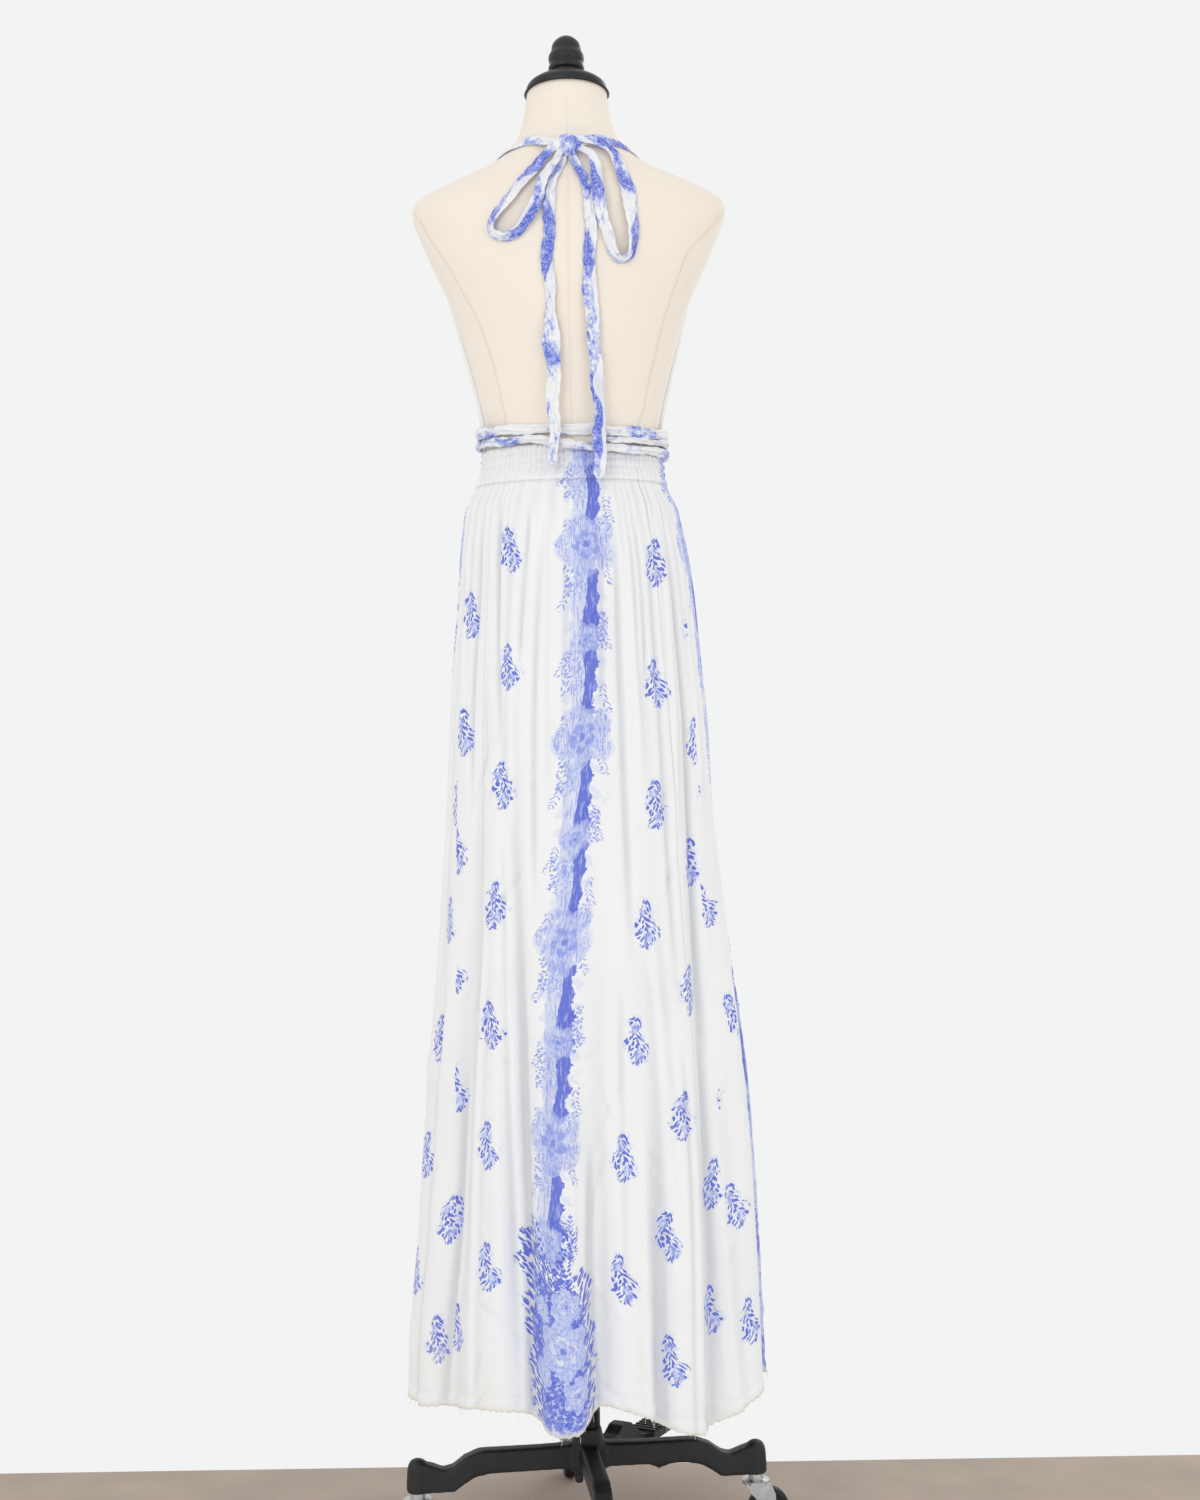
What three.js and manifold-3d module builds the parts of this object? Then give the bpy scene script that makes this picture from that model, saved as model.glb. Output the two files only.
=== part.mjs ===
// A halter maxi dress on a limbless dress form with a wheeled base.
// Millimetres, +Z up, origin on the floor under the form's axis; the open back faces -Y.
import * as THREE from "three";
import { mergeVertices } from "three/addons/utils/BufferGeometryUtils.js";
import Module from "manifold-3d";

const wasm = await Module();
wasm.setup();

// Driving dimensions
const seamGap = 0.3;
const clothThickness = 1.8;
const ribbonSides = 6;
const formClearance = 0.6;
const bodiceClearance = 1.5;
const waistTop = 1304.5;
const waistBottom = 1262;
const gatherCount = 52;
const columnsPerPanel = (gatherCount * 2) / 4;
const formSides = 28;
const neckTopZ = 1732;
const capTilt = 6;
const hipCutZ = 1000;
const postRadius = 11;
const postBottomZ = 330;
const columnRadius = 15;
const columnBore = 11.8;
const columnTopZ = 560;
const collarRadius = 20;
const collarHeight = 40;
const hubTopZ = 136;
const baseTurn = 7;
const socketReach = 204;
const socketBottomZ = 68;
const wheelRadius = 25;
const wheelSides = 20;
const casterTrail = 15;
const pedalTurn = 62;

// The form's horizontal sections: half width, depth to the back and front, squareness
const formRows = [
  { z: hipCutZ, wide: 106, back: 84, front: 74, square: 2 },
  { z: 1008, wide: 118, back: 96, front: 86, square: 2 },
  { z: 1060, wide: 125, back: 103, front: 92, square: 2 },
  { z: 1126, wide: 127, back: 103, front: 94, square: 2 },
  { z: 1180, wide: 122, back: 95, front: 90, square: 2 },
  { z: 1234, wide: 112, back: 82, front: 84, square: 2 },
  { z: 1268, wide: 107, back: 76, front: 80, square: 2 },
  { z: 1300, wide: 104, back: 73, front: 77, square: 2 },
  { z: 1325, wide: 104, back: 72, front: 77, square: 2 },
  { z: 1350, wide: 108, back: 74, front: 81, square: 2 },
  { z: 1385, wide: 116, back: 79, front: 93, square: 2 },
  { z: 1420, wide: 125, back: 84, front: 108, square: 2.05 },
  { z: 1457, wide: 135, back: 89, front: 116, square: 2.1 },
  { z: 1490, wide: 147, back: 92, front: 108, square: 2.15 },
  { z: 1520, wide: 161, back: 93, front: 94, square: 2.2 },
  { z: 1550, wide: 174, back: 90, front: 82, square: 2.25 },
  { z: 1575, wide: 184, back: 85, front: 73, square: 2.25 },
  { z: 1590, wide: 187, back: 81, front: 68, square: 2.2 },
  { z: 1603, wide: 183, back: 76, front: 64, square: 2.1 },
  { z: 1618, wide: 158, back: 71, front: 60, square: 2 },
  { z: 1634, wide: 122, back: 66, front: 56, square: 2 },
  { z: 1648, wide: 92, back: 62, front: 53, square: 2 },
  { z: 1660, wide: 75, back: 59, front: 50, square: 2 },
  { z: 1675, wide: 62, back: 55, front: 48, square: 2 },
  { z: 1695, wide: 54, back: 51, front: 46, square: 2 },
  { z: neckTopZ, wide: 48, back: 47, front: 46, square: 2 },
];

// The skirt's outline without its folds, from the waist seam down to the hem
const skirtRows = [
  { z: 1262, left: 117, right: 112, back: 84, front: 88 },
  { z: 1234, left: 127, right: 122, back: 94, front: 96 },
  { z: 1180, left: 134, right: 134, back: 106, front: 105 },
  { z: 1126, left: 138, right: 142, back: 114, front: 110 },
  { z: 1064, left: 145, right: 148, back: 120, front: 115 },
  { z: 985, left: 151, right: 156, back: 126, front: 121 },
  { z: 857, left: 156, right: 164, back: 133, front: 129 },
  { z: 704, left: 164, right: 176, back: 141, front: 138 },
  { z: 551, left: 177, right: 190, back: 149, front: 147 },
  { z: 368, left: 190, right: 200, back: 157, front: 156 },
  { z: 264, left: 201, right: 204, back: 161, front: 160 },
  { z: 150, left: 205, right: 208, back: 165, front: 164 },
];

// The hem's height round the skirt; an angle is measured from the back towards +X
const hemRows = [
  { angle: -180, z: 190 },
  { angle: -150, z: 205 },
  { angle: -120, z: 214 },
  { angle: -95, z: 196 },
  { angle: -75, z: 183 },
  { angle: -48, z: 193 },
  { angle: -33, z: 201 },
  { angle: -21, z: 199 },
  { angle: -11, z: 181 },
  { angle: -2, z: 180 },
  { angle: 5, z: 206 },
  { angle: 16, z: 199 },
  { angle: 27, z: 178 },
  { angle: 38, z: 167 },
  { angle: 48, z: 171 },
  { angle: 68, z: 199 },
  { angle: 90, z: 196 },
  { angle: 112, z: 178 },
  { angle: 140, z: 176 },
  { angle: 180, z: 190 },
];

// Main folds: angle at the waist and at the hem, width in degrees, height in mm, and the
// share of the drop where the fold starts
const foldRows = [
  { top: -45, hem: -49, wide: 4, high: -5, from: 0.05 },
  { top: -50, hem: -55, wide: 5, high: -8, from: 0.25 },
  { top: -60, hem: -66, wide: 7, high: 6, from: 0.1 },
  { top: -33, hem: -30, wide: 8, high: 6, from: 0.12 },
  { top: -38, hem: -18, wide: 4.5, high: -14, from: 0.12 },
  { top: -8, hem: -8, wide: 7, high: 9, from: 0.3 },
  { top: 10, hem: 5, wide: 4.5, high: -9, from: 0.45 },
  { top: 18, hem: 14, wide: 6, high: 5, from: 0.3 },
  { top: 32, hem: 25, wide: 4, high: -10, from: 0.5 },
  { top: 44, hem: 35, wide: 7, high: 10, from: 0.35 },
  { top: 60, hem: 46, wide: 4.5, high: -9, from: 0.12 },
  { top: 76, hem: 65, wide: 9, high: 15, from: 0.2 },
  { top: 90, hem: 87, wide: 7, high: -22, from: 0.25 },
  { top: 104, hem: 106, wide: 9, high: 15, from: 0.2 },
  { top: 120, hem: 124, wide: 6, high: -11, from: 0.2 },
  { top: 134, hem: 139, wide: 7, high: 9, from: 0.25 },
  { top: 148, hem: 154, wide: 6, high: -12, from: 0.12 },
  { top: 163, hem: 168, wide: 7, high: 9, from: 0.3 },
  { top: 178, hem: 183, wide: 6, high: -10, from: 0.2 },
  { top: 194, hem: 198, wide: 7, high: 10, from: 0.15 },
  { top: 208, hem: 213, wide: 6, high: -12, from: 0.3 },
  { top: 222, hem: 227, wide: 7, high: 9, from: 0.2 },
  { top: 237, hem: 240, wide: 6, high: -11, from: 0.15 },
  { top: 252, hem: 253, wide: 7, high: 10, from: 0.25 },
  { top: 265, hem: 264, wide: 5.5, high: -10, from: 0.3 },
  { top: 280, hem: 279, wide: 8, high: 8, from: 0.15 },
];

// Skirt panels between their seams; each is centred on its own border stripe
const panelRows = [
  { name: "skirt_back", from: -46, to: 44 },
  { name: "skirt_right", from: 44, to: 134 },
  { name: "skirt_front", from: 134, to: 224 },
  { name: "skirt_left", from: 224, to: 314 },
];
const dropRows = [0, 0.02, 0.07, 0.14, 0.23, 0.34, 0.46, 0.59, 0.73, 0.87, 1];

// Half of the halter bodice: the angles of its side edge and its neckline edge at each height
const bodiceRows = [
  { z: waistTop + seamGap, side: 88, neck: 179.4 },
  { z: 1335, side: 86, neck: 178.5 },
  { z: 1370, side: 87, neck: 173 },
  { z: 1405, side: 90, neck: 168 },
  { z: 1440, side: 95, neck: 163 },
  { z: 1475, side: 102, neck: 160 },
  { z: 1510, side: 112, neck: 157 },
  { z: 1545, side: 123, neck: 155 },
  { z: 1580, side: 134, neck: 153 },
  { z: 1604, side: 141, neck: 152 },
];

// The strap from the bodice over the shoulder to the nape
const strapRows = [
  { angle: 146.5, z: 1606, wide: 16 },
  { angle: 138, z: 1622, wide: 15 },
  { angle: 124, z: 1637, wide: 14 },
  { angle: 105, z: 1648, wide: 13 },
  { angle: 86, z: 1655, wide: 13 },
  { angle: 64, z: 1661, wide: 13 },
  { angle: 40, z: 1663, wide: 13 },
  { angle: 16.5, z: 1659, wide: 12 },
];

// The bow's loops and tails on the back: place, distance out from the form, width and turn
const loopLeftRows = [
  { x: -18, z: 1644, out: 9, wide: 9, turn: 0 },
  { x: -40, z: 1622, out: 5, wide: 15, turn: 10 },
  { x: -65, z: 1591, out: 4, wide: 15, turn: 20 },
  { x: -85, z: 1565, out: 5, wide: 14, turn: 35 },
  { x: -88, z: 1549, out: 6, wide: 13, turn: 45 },
  { x: -75, z: 1541, out: 7, wide: 13, turn: 50 },
  { x: -57, z: 1547, out: 8, wide: 13, turn: 40 },
  { x: -40, z: 1570, out: 9, wide: 14, turn: 20 },
  { x: -28, z: 1605, out: 9, wide: 12, turn: 5 },
  { x: -15.5, z: 1628, out: 9, wide: 8, turn: 0 },
];
const loopRightRows = [
  { x: 15, z: 1647, out: 9.5, wide: 8, turn: 0 },
  { x: 26, z: 1638, out: 9, wide: 10, turn: 0 },
  { x: 33, z: 1620, out: 8.5, wide: 13, turn: 5 },
  { x: 35, z: 1587, out: 8, wide: 15, turn: 10 },
  { x: 43, z: 1548, out: 7, wide: 14, turn: 25 },
  { x: 52, z: 1520, out: 6.5, wide: 13, turn: 45 },
  { x: 62, z: 1513, out: 6.5, wide: 13, turn: 55 },
  { x: 72, z: 1522, out: 6.5, wide: 14, turn: 45 },
  { x: 74, z: 1550, out: 6, wide: 16, turn: 25 },
  { x: 70, z: 1594, out: 3, wide: 18, turn: 7 },
  { x: 57, z: 1634, out: 5.5, wide: 15, turn: 10 },
  { x: 40, z: 1652, out: 8, wide: 11, turn: 5 },
  { x: 17, z: 1661, out: 11, wide: 8, turn: 0 },
];
const tailLeftRows = [
  { x: -6, z: 1634, out: 2.5, wide: 9, turn: 0 },
  { x: -18, z: 1607, out: 2.5, wide: 13, turn: 10 },
  { x: -22, z: 1579, out: 2.3, wide: 14, turn: -2 },
  { x: -21, z: 1552, out: 2, wide: 14, turn: 0 },
  { x: -25, z: 1521, out: 2.1, wide: 14, turn: 0 },
  { x: -22, z: 1487, out: 3, wide: 14, turn: 10 },
  { x: -21, z: 1462, out: 4.5, wide: 12, turn: 20 },
  { x: -21, z: 1424, out: 7, wide: 21, turn: -5 },
  { x: -18, z: 1395, out: 10, wide: 17, turn: 10 },
  { x: -19, z: 1352, out: 14, wide: 15, turn: -10 },
  { x: -17, z: 1312, out: 17, wide: 13, turn: 15 },
  { x: -21, z: 1273, out: 20.5, wide: 12, turn: 0 },
];
const tailRightRows = [
  { x: 7, z: 1634, out: 2.5, wide: 9, turn: 0 },
  { x: 18, z: 1615, out: 2.5, wide: 12, turn: -10 },
  { x: 24.5, z: 1588, out: 2.3, wide: 13, turn: 2 },
  { x: 26, z: 1543, out: 2.2, wide: 14, turn: 0 },
  { x: 23, z: 1498, out: 2.8, wide: 15, turn: 10 },
  { x: 25, z: 1468, out: 4, wide: 18, turn: 0 },
  { x: 27, z: 1424, out: 7, wide: 15, turn: -10 },
  { x: 28.5, z: 1380, out: 11.5, wide: 15, turn: 5 },
  { x: 30, z: 1336, out: 15.5, wide: 13, turn: -5 },
  { x: 29, z: 1299, out: 17.5, wide: 17, turn: 10 },
  { x: 27.5, z: 1256, out: 22, wide: 13, turn: 0 },
];

// Waist ties wrapped round over the waistband: height and distance out at each angle
const tieUpperRows = [
  { angle: -168, z: 1325, out: 9.8 },
  { angle: -92, z: 1325, out: 9 },
  { angle: -45, z: 1323, out: 5 },
  { angle: 0, z: 1320, out: 4 },
  { angle: 45, z: 1318, out: 5 },
  { angle: 92, z: 1321, out: 9 },
  { angle: 168, z: 1324, out: 9.8 },
];
const tieMiddleRows = [
  { angle: 22, z: 1308, out: 5 },
  { angle: 45, z: 1307.5, out: 6.4 },
  { angle: 92, z: 1309.5, out: 9.2 },
  { angle: 168, z: 1312, out: 9.8 },
];
const tieLowerRows = [
  { angle: -168, z: 1311, out: 9.8 },
  { angle: -92, z: 1311, out: 9.4 },
  { angle: -45, z: 1309, out: 8.5 },
  { angle: -20, z: 1308, out: 8.5 },
  { angle: 5, z: 1299, out: 9 },
  { angle: 45, z: 1296, out: 9 },
  { angle: 92, z: 1297.5, out: 9.2 },
  { angle: 168, z: 1300, out: 9.8 },
];

const radians = (degrees) => (degrees * Math.PI) / 180;
const mix = (a, b, share) => a + (b - a) * share;
const smooth = (low, high, value) => THREE.MathUtils.smoothstep(value, low, high);

// Straight values between the rows of a table whose key grows or falls steadily
function rowBetween(rows, key, at, value) {
  const rising = rows[rows.length - 1][key] > rows[0][key];
  let index = rows.findIndex((row) => (rising ? row[key] >= at : row[key] <= at));
  if (index === -1) index = rows.length - 1;
  if (index === 0) index = 1;
  const low = rows[index - 1];
  const high = rows[index];
  const share = THREE.MathUtils.clamp((at - low[key]) / (high[key] - low[key]), 0, 1);
  return value(low, high, share);
}

const columnAt = (rows, key, column, at) =>
  rowBetween(rows, key, at, (low, high, share) => mix(low[column], high[column], share));

// The same rows joined by a soft curve through every value
function softColumn(rows, key, column, at) {
  const place = rowBetween(rows, key, at, (low, high, share) => rows.indexOf(low) + share);
  const index = Math.min(Math.floor(place), rows.length - 2);
  const value = (i) => rows[THREE.MathUtils.clamp(i, 0, rows.length - 1)][column];
  const share = place - index;
  const slopeLow = (value(index + 1) - value(index - 1)) / 2;
  const slopeHigh = (value(index + 2) - value(index)) / 2;
  const square = share * share;
  const cube = square * share;
  return (
    (2 * cube - 3 * square + 1) * value(index) +
    (cube - 2 * square + share) * slopeLow +
    (3 * square - 2 * cube) * value(index + 1) +
    (cube - square) * slopeHigh
  );
}

// The form's surface at an angle from the back towards +X
function formPoint(angle, z) {
  const at = (column) => columnAt(formRows, "z", column, z);
  const power = 2 / at("square");
  const sine = Math.sin(angle);
  const cosine = Math.cos(angle);
  const deep = cosine > 0 ? at("back") : at("front");
  const x = Math.sign(sine) * at("wide") * Math.abs(sine) ** power;
  const y = -Math.sign(cosine) * deep * Math.abs(cosine) ** power;
  return new THREE.Vector3(x, y, z);
}

function formNormal(angle, z) {
  const around = formPoint(angle + 0.02, z).sub(formPoint(angle - 0.02, z));
  const up = formPoint(angle, z + 6).sub(formPoint(angle, z - 6));
  return around.cross(up).normalize();
}

const aboveForm = (angle, z, out) => formPoint(angle, z).addScaledVector(formNormal(angle, z), out);

// The angle at which the form's back has a given x
function backAngle(x, z) {
  const wide = columnAt(formRows, "z", "wide", z);
  const square = columnAt(formRows, "z", "square", z);
  return Math.asin(Math.sign(x) * (Math.abs(x) / wide) ** (square / 2));
}

// A closed body from a grid of corner points and the cells that join them
function bodyFrom(points, triangles) {
  const geometry = new THREE.BufferGeometry();
  const flat = points.flatMap((point) => [point.x, point.y, point.z]);
  geometry.setAttribute("position", new THREE.Float32BufferAttribute(flat, 3));
  geometry.setIndex(triangles);
  geometry.computeVertexNormals();
  return geometry;
}

// Rings of points joined side by side, with both end rings closed by a middle point
function ringBody(rings) {
  const sides = rings[0].length;
  const points = rings.flat();
  const triangles = [];
  for (let row = 0; row + 1 < rings.length; row++) {
    for (let side = 0; side < sides; side++) {
      const next = (side + 1) % sides;
      const a = row * sides + side;
      const b = row * sides + next;
      triangles.push(a, b, b + sides, a, b + sides, a + sides);
    }
  }
  for (const row of [0, rings.length - 1]) {
    const middle = new THREE.Vector3();
    rings[row].forEach((point) => middle.addScaledVector(point, 1 / sides));
    const centre = points.push(middle) - 1;
    for (let side = 0; side < sides; side++) {
      const a = row * sides + side;
      const b = row * sides + ((side + 1) % sides);
      if (row === 0) triangles.push(centre, b, a);
      else triangles.push(centre, a, b);
    }
  }
  return bodyFrom(points, triangles);
}

// A cloth wall from its outer and inner grids of points, closed along its edges
function wallBody(outer, inner, wraps) {
  const rows = outer.length;
  const columns = outer[0].length;
  const points = [...outer.flat(), ...inner.flat()];
  const inside = rows * columns;
  const triangles = [];
  const quad = (a, b, c, d) => triangles.push(a, b, c, a, c, d);
  const lastColumn = wraps ? columns : columns - 1;
  for (let row = 0; row + 1 < rows; row++) {
    for (let column = 0; column < lastColumn; column++) {
      const a = row * columns + column;
      const b = row * columns + ((column + 1) % columns);
      quad(a, a + columns, b + columns, b);
      quad(inside + a, inside + b, inside + b + columns, inside + a + columns);
    }
  }
  for (let column = 0; column < lastColumn; column++) {
    const next = (column + 1) % columns;
    const below = (rows - 1) * columns;
    quad(column, next, inside + next, inside + column);
    quad(below + column, inside + below + column, inside + below + next, below + next);
  }
  for (let row = 0; !wraps && row + 1 < rows; row++) {
    const a = row * columns;
    const b = a + columns - 1;
    quad(a, inside + a, inside + a + columns, a + columns);
    quad(b, b + columns, inside + b + columns, inside + b);
  }
  return bodyFrom(points, triangles);
}

// A flat strap along centres with their own outward directions
function ribbonBody(samples, sides, thick) {
  const rings = samples.map((sample, index) => {
    const before = samples[Math.max(index - 1, 0)].centre;
    const after = samples[Math.min(index + 1, samples.length - 1)].centre;
    const along = after.clone().sub(before).normalize();
    const across = sample.normal.clone().cross(along).normalize();
    const out = along.clone().cross(across);
    across.applyAxisAngle(along, radians(sample.turn));
    out.applyAxisAngle(along, radians(sample.turn));
    return Array.from({ length: sides }, (_, side) => {
      const round = (2 * Math.PI * (side + 0.5)) / sides;
      return sample.centre
        .clone()
        .addScaledVector(across, (Math.cos(round) * sample.wide) / 2)
        .addScaledVector(out, (Math.sin(round) * thick) / 2);
    });
  });
  return ringBody(rings);
}

// A strap laid on the form's back through rows of places
function backRibbon(rows, steps, thick) {
  const keyed = rows.map((row, index) => ({ ...row, index }));
  const samples = Array.from({ length: steps + 1 }, (_, step) => {
    const at = (step * (rows.length - 1)) / steps;
    const value = (column) => softColumn(keyed, "index", column, at);
    const angle = backAngle(value("x"), value("z"));
    return {
      centre: aboveForm(angle, value("z"), value("out")),
      normal: formNormal(angle, value("z")),
      wide: value("wide"),
      turn: value("turn"),
    };
  });
  return ribbonBody(samples, ribbonSides, thick);
}

// A strap wrapped round the form through rows of angles, mirrored for the other side
function wrappedRibbon(rows, steps, thick, shape, mirror) {
  const keyed = rows.map((row, index) => ({ ...row, index }));
  const samples = Array.from({ length: steps + 1 }, (_, step) => {
    const at = (step * (rows.length - 1)) / steps;
    const value = (column) => softColumn(keyed, "index", column, at);
    const angle = radians(value("angle")) * mirror;
    const made = shape(value, angle);
    const centre = aboveForm(angle, value("z"), made.out);
    return { centre, normal: formNormal(angle, value("z")), ...made };
  });
  return ribbonBody(samples, ribbonSides, thick);
}

// The skirt's outer surface: outline, main folds, then the gathers under the waist seam
function skirtPoint(degrees, drop, gather) {
  const angle = radians(degrees);
  const turned = degrees > 180 ? degrees - 360 : degrees;
  const hem = softColumn(hemRows, "angle", "z", turned);
  const z = mix(waistBottom - seamGap, hem, drop);
  const sine = Math.sin(angle);
  const cosine = Math.cos(angle);
  const wide = softColumn(skirtRows, "z", sine > 0 ? "right" : "left", z);
  const deep = softColumn(skirtRows, "z", cosine > 0 ? "back" : "front", z);
  let out = 0;
  for (const fold of foldRows) {
    const middle = mix(fold.top, fold.hem, drop ** 0.8);
    const off = ((degrees - middle + 540) % 360) - 180;
    out += fold.high * smooth(fold.from, fold.from + 0.55, drop) * Math.exp(-((off / fold.wide) ** 2));
  }
  out += gather * mix(2.2, 0, smooth(0, 0.2, drop));
  const radial = new THREE.Vector3(sine, -cosine, 0);
  return new THREE.Vector3(wide * sine, -deep * cosine, z).addScaledVector(radial, out);
}

function skirtPanel(panel) {
  const outer = [];
  const inner = [];
  for (const drop of dropRows) {
    const outerRow = [];
    const innerRow = [];
    for (let column = 0; column <= columnsPerPanel; column++) {
      let degrees = mix(panel.from, panel.to, column / columnsPerPanel);
      const reach = Math.hypot(...skirtPoint(degrees, drop, 0).toArray().slice(0, 2));
      const half = THREE.MathUtils.radToDeg(seamGap / 2 / reach);
      if (column === 0) degrees += half;
      if (column === columnsPerPanel) degrees -= half;
      const point = skirtPoint(degrees, drop, column % 2 ? 1 : -0.4);
      const inward = new THREE.Vector3(-point.x, -point.y, 0).normalize();
      outerRow.push(point);
      innerRow.push(point.clone().addScaledVector(inward, clothThickness));
    }
    outer.push(outerRow);
    inner.push(innerRow);
  }
  return wallBody(outer, inner, false);
}

// The shirred waistband: gathers raised on the outside between sewn elastic rows
function waistband() {
  const levels = [0, 0.33, 0.67, 1];
  const count = gatherCount * 2;
  const outer = [];
  const inner = [];
  levels.forEach((level, row) => {
    const z = mix(waistTop, waistBottom, level);
    const puff = row % 2 ? 1 : 0.4;
    const around = Array.from({ length: count }, (_, column) => radians((column * 360) / count));
    outer.push(around.map((angle, column) => {
      const raised = clothThickness + (column % 2 ? 1.9 * puff : 0);
      return aboveForm(angle, z, formClearance + raised);
    }));
    inner.push(around.map((angle) => aboveForm(angle, z, formClearance)));
  });
  return wallBody(outer, inner, true);
}

// Half of the bodice on the form's front, softly gathered towards the strap
function bodiceHalf(mirror) {
  const columns = 10;
  const outer = [];
  const inner = [];
  const low = bodiceRows[0].z;
  const high = bodiceRows[bodiceRows.length - 1].z;
  const levels = [low, ...formRows.map((row) => row.z).filter((z) => z > low && z < high), high];
  for (const z of levels) {
    const outerRow = [];
    const innerRow = [];
    const side = softColumn(bodiceRows, "z", "side", z);
    const neck = softColumn(bodiceRows, "z", "neck", z);
    for (let column = 0; column <= columns; column++) {
      const share = mirror > 0 ? column / columns : 1 - column / columns;
      const angle = radians(mix(side, neck, share)) * mirror;
      const wave = 0.8 + 0.8 * Math.sin(share * Math.PI * 7 + z / 60);
      outerRow.push(aboveForm(angle, z, bodiceClearance + clothThickness + wave));
      innerRow.push(aboveForm(angle, z, bodiceClearance));
    }
    outer.unshift(outerRow);
    inner.unshift(innerRow);
  }
  return wallBody(outer, inner, false);
}

function formTorso() {
  const rings = formRows.map(({ z }) =>
    Array.from({ length: formSides }, (_, side) => formPoint((2 * Math.PI * side) / formSides, z)),
  );
  for (const point of rings[rings.length - 1]) point.z -= point.y * Math.tan(radians(capTilt));
  return ringBody(rings);
}

// A turned shape from radius and height pairs
function turned(profile, sides) {
  const geometry = new THREE.LatheGeometry(profile.map(([r, z]) => new THREE.Vector2(r, z)), sides);
  geometry.rotateX(Math.PI / 2);
  return geometry;
}

// A flat outline in the radius and height plane, given a width across
function slab(outline, width) {
  const shape = new THREE.Shape(outline.map(([r, z]) => new THREE.Vector2(r, z)));
  const geometry = new THREE.ExtrudeGeometry(shape, { depth: width, bevelEnabled: false });
  geometry.translate(0, 0, -width / 2);
  geometry.rotateX(Math.PI / 2);
  return geometry;
}

function solid(geometry) {
  const plain = geometry.clone();
  plain.deleteAttribute("normal");
  plain.deleteAttribute("uv");
  const merged = mergeVertices(plain, 1e-4);
  const vertProperties = new Float32Array(merged.attributes.position.array);
  const triVerts = new Uint32Array(merged.index.array);
  return new wasm.Manifold(new wasm.Mesh({ numProp: 3, vertProperties, triVerts }));
}

function joined(geometries) {
  const whole = geometries.map(solid).reduce((sum, part) => sum.add(part));
  const mesh = whole.getMesh();
  const geometry = new THREE.BufferGeometry();
  geometry.setAttribute("position", new THREE.Float32BufferAttribute(Array.from(mesh.vertProperties), 3));
  geometry.setIndex(Array.from(mesh.triVerts));
  geometry.computeVertexNormals();
  return geometry;
}

const turnedAbout = (geometry, degrees) => geometry.rotateZ(radians(degrees));

// Cast base: a hub, four arms that step down to caster sockets, and the pedal's lugs
function castBase() {
  const hub = [[0, 84], [22, 84], [23, 88], [23, 112], [20, 120], [17.5, 128], [17, hubTopZ], [0, hubTopZ]];
  const arm = [
    [0, 88], [118, 87], [135, 84], [148, 77], [160, socketBottomZ], [socketReach, socketBottomZ],
    [socketReach, 104], [188, 101], [174, 95], [163, 97], [148, 108], [130, 115], [60, 115], [0, 117],
  ];
  const socket = [
    [0, socketBottomZ], [14, socketBottomZ], [13.5, 92], [12, 101], [8, 107], [0, 109],
  ];
  const stub = [[0, 69], [6, 69], [6, 90], [0, 90]];
  const peg = [[0, 79], [4, 79], [4, 84], [11, 84], [11, 90], [0, 90]];
  const pieces = [turned(hub, 20), turned(stub, 10).translate(-11, -6, 0)];
  pieces.push(turnedAbout(turned(peg, 10).translate(86, 0, 0), baseTurn));
  for (let quarter = 0; quarter < 4; quarter++) {
    const turn = baseTurn + quarter * 90;
    pieces.push(turnedAbout(slab(arm, 22), turn));
    pieces.push(turnedAbout(turned(socket, 12).translate(socketReach, 0, 0), turn));
  }
  const lug = [[10, 88], [60, 88], [64, 94], [62, 106], [54, 110], [10, 112]];
  for (const side of [-1, 1]) {
    pieces.push(turnedAbout(slab(lug, 5).translate(0, side * 12.5, 0), pedalTurn));
  }
  return joined(pieces);
}

// The foot pedal: a lever with a hump and a ribbed pad at its end
function footPedal() {
  const width = 19.4;
  const lever = [
    [44, 92], [60, 89], [96, 90], [120, 82], [146, 78], [146, 84], [126, 90], [108, 104],
    [96, 113], [84, 117], [72, 116], [60, 109], [48, 107], [42, 100],
  ];
  const pad = [[140, 78], [192, 78], [192, 87], [140, 87]];
  const pieces = [slab(lever, width), slab(pad, 38)];
  for (let rib = 0; rib < 6; rib++) {
    const start = 144 + rib * 8;
    pieces.push(slab([[start, 86], [start + 4, 86], [start + 4, 90], [start, 90]], 36));
  }
  return turnedAbout(joined(pieces), pedalTurn);
}

// A zinc caster fork: collar, plate and two legs down to the axle
function casterFork() {
  const headTop = socketBottomZ - seamGap;
  const head = [[0, 56], [17, 56], [17, 60], [9, 61], [9, headTop], [0, headTop]];
  const leg = [
    [-14, 58], [16, 58], [22, 44], [casterTrail + 7, 26], [casterTrail + 3, 20],
    [casterTrail - 4, 20], [casterTrail - 7, 27], [-8, 46],
  ];
  const legSpace = 9.4;
  const legThickness = 2.6;
  const legMiddle = legSpace + legThickness / 2;
  const legs = [-1, 1].map((side) => slab(leg, legThickness).translate(0, side * legMiddle, 0));
  return joined([turned(head, 12), ...legs]);
}

// A caster wheel about its axle, with a flat facet of the tread down
function casterWheel() {
  const rim = wheelRadius / Math.cos(Math.PI / wheelSides);
  const profile = [
    [0, -9.1], [9, -9.1], [rim - 3, -7.5], [rim, -5], [rim, 5], [rim - 3, 7.5], [9, 9.1], [0, 9.1],
  ];
  const geometry = new THREE.LatheGeometry(profile.map(([r, z]) => new THREE.Vector2(r, z)), wheelSides);
  geometry.rotateY(Math.PI / wheelSides);
  return geometry;
}

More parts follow.
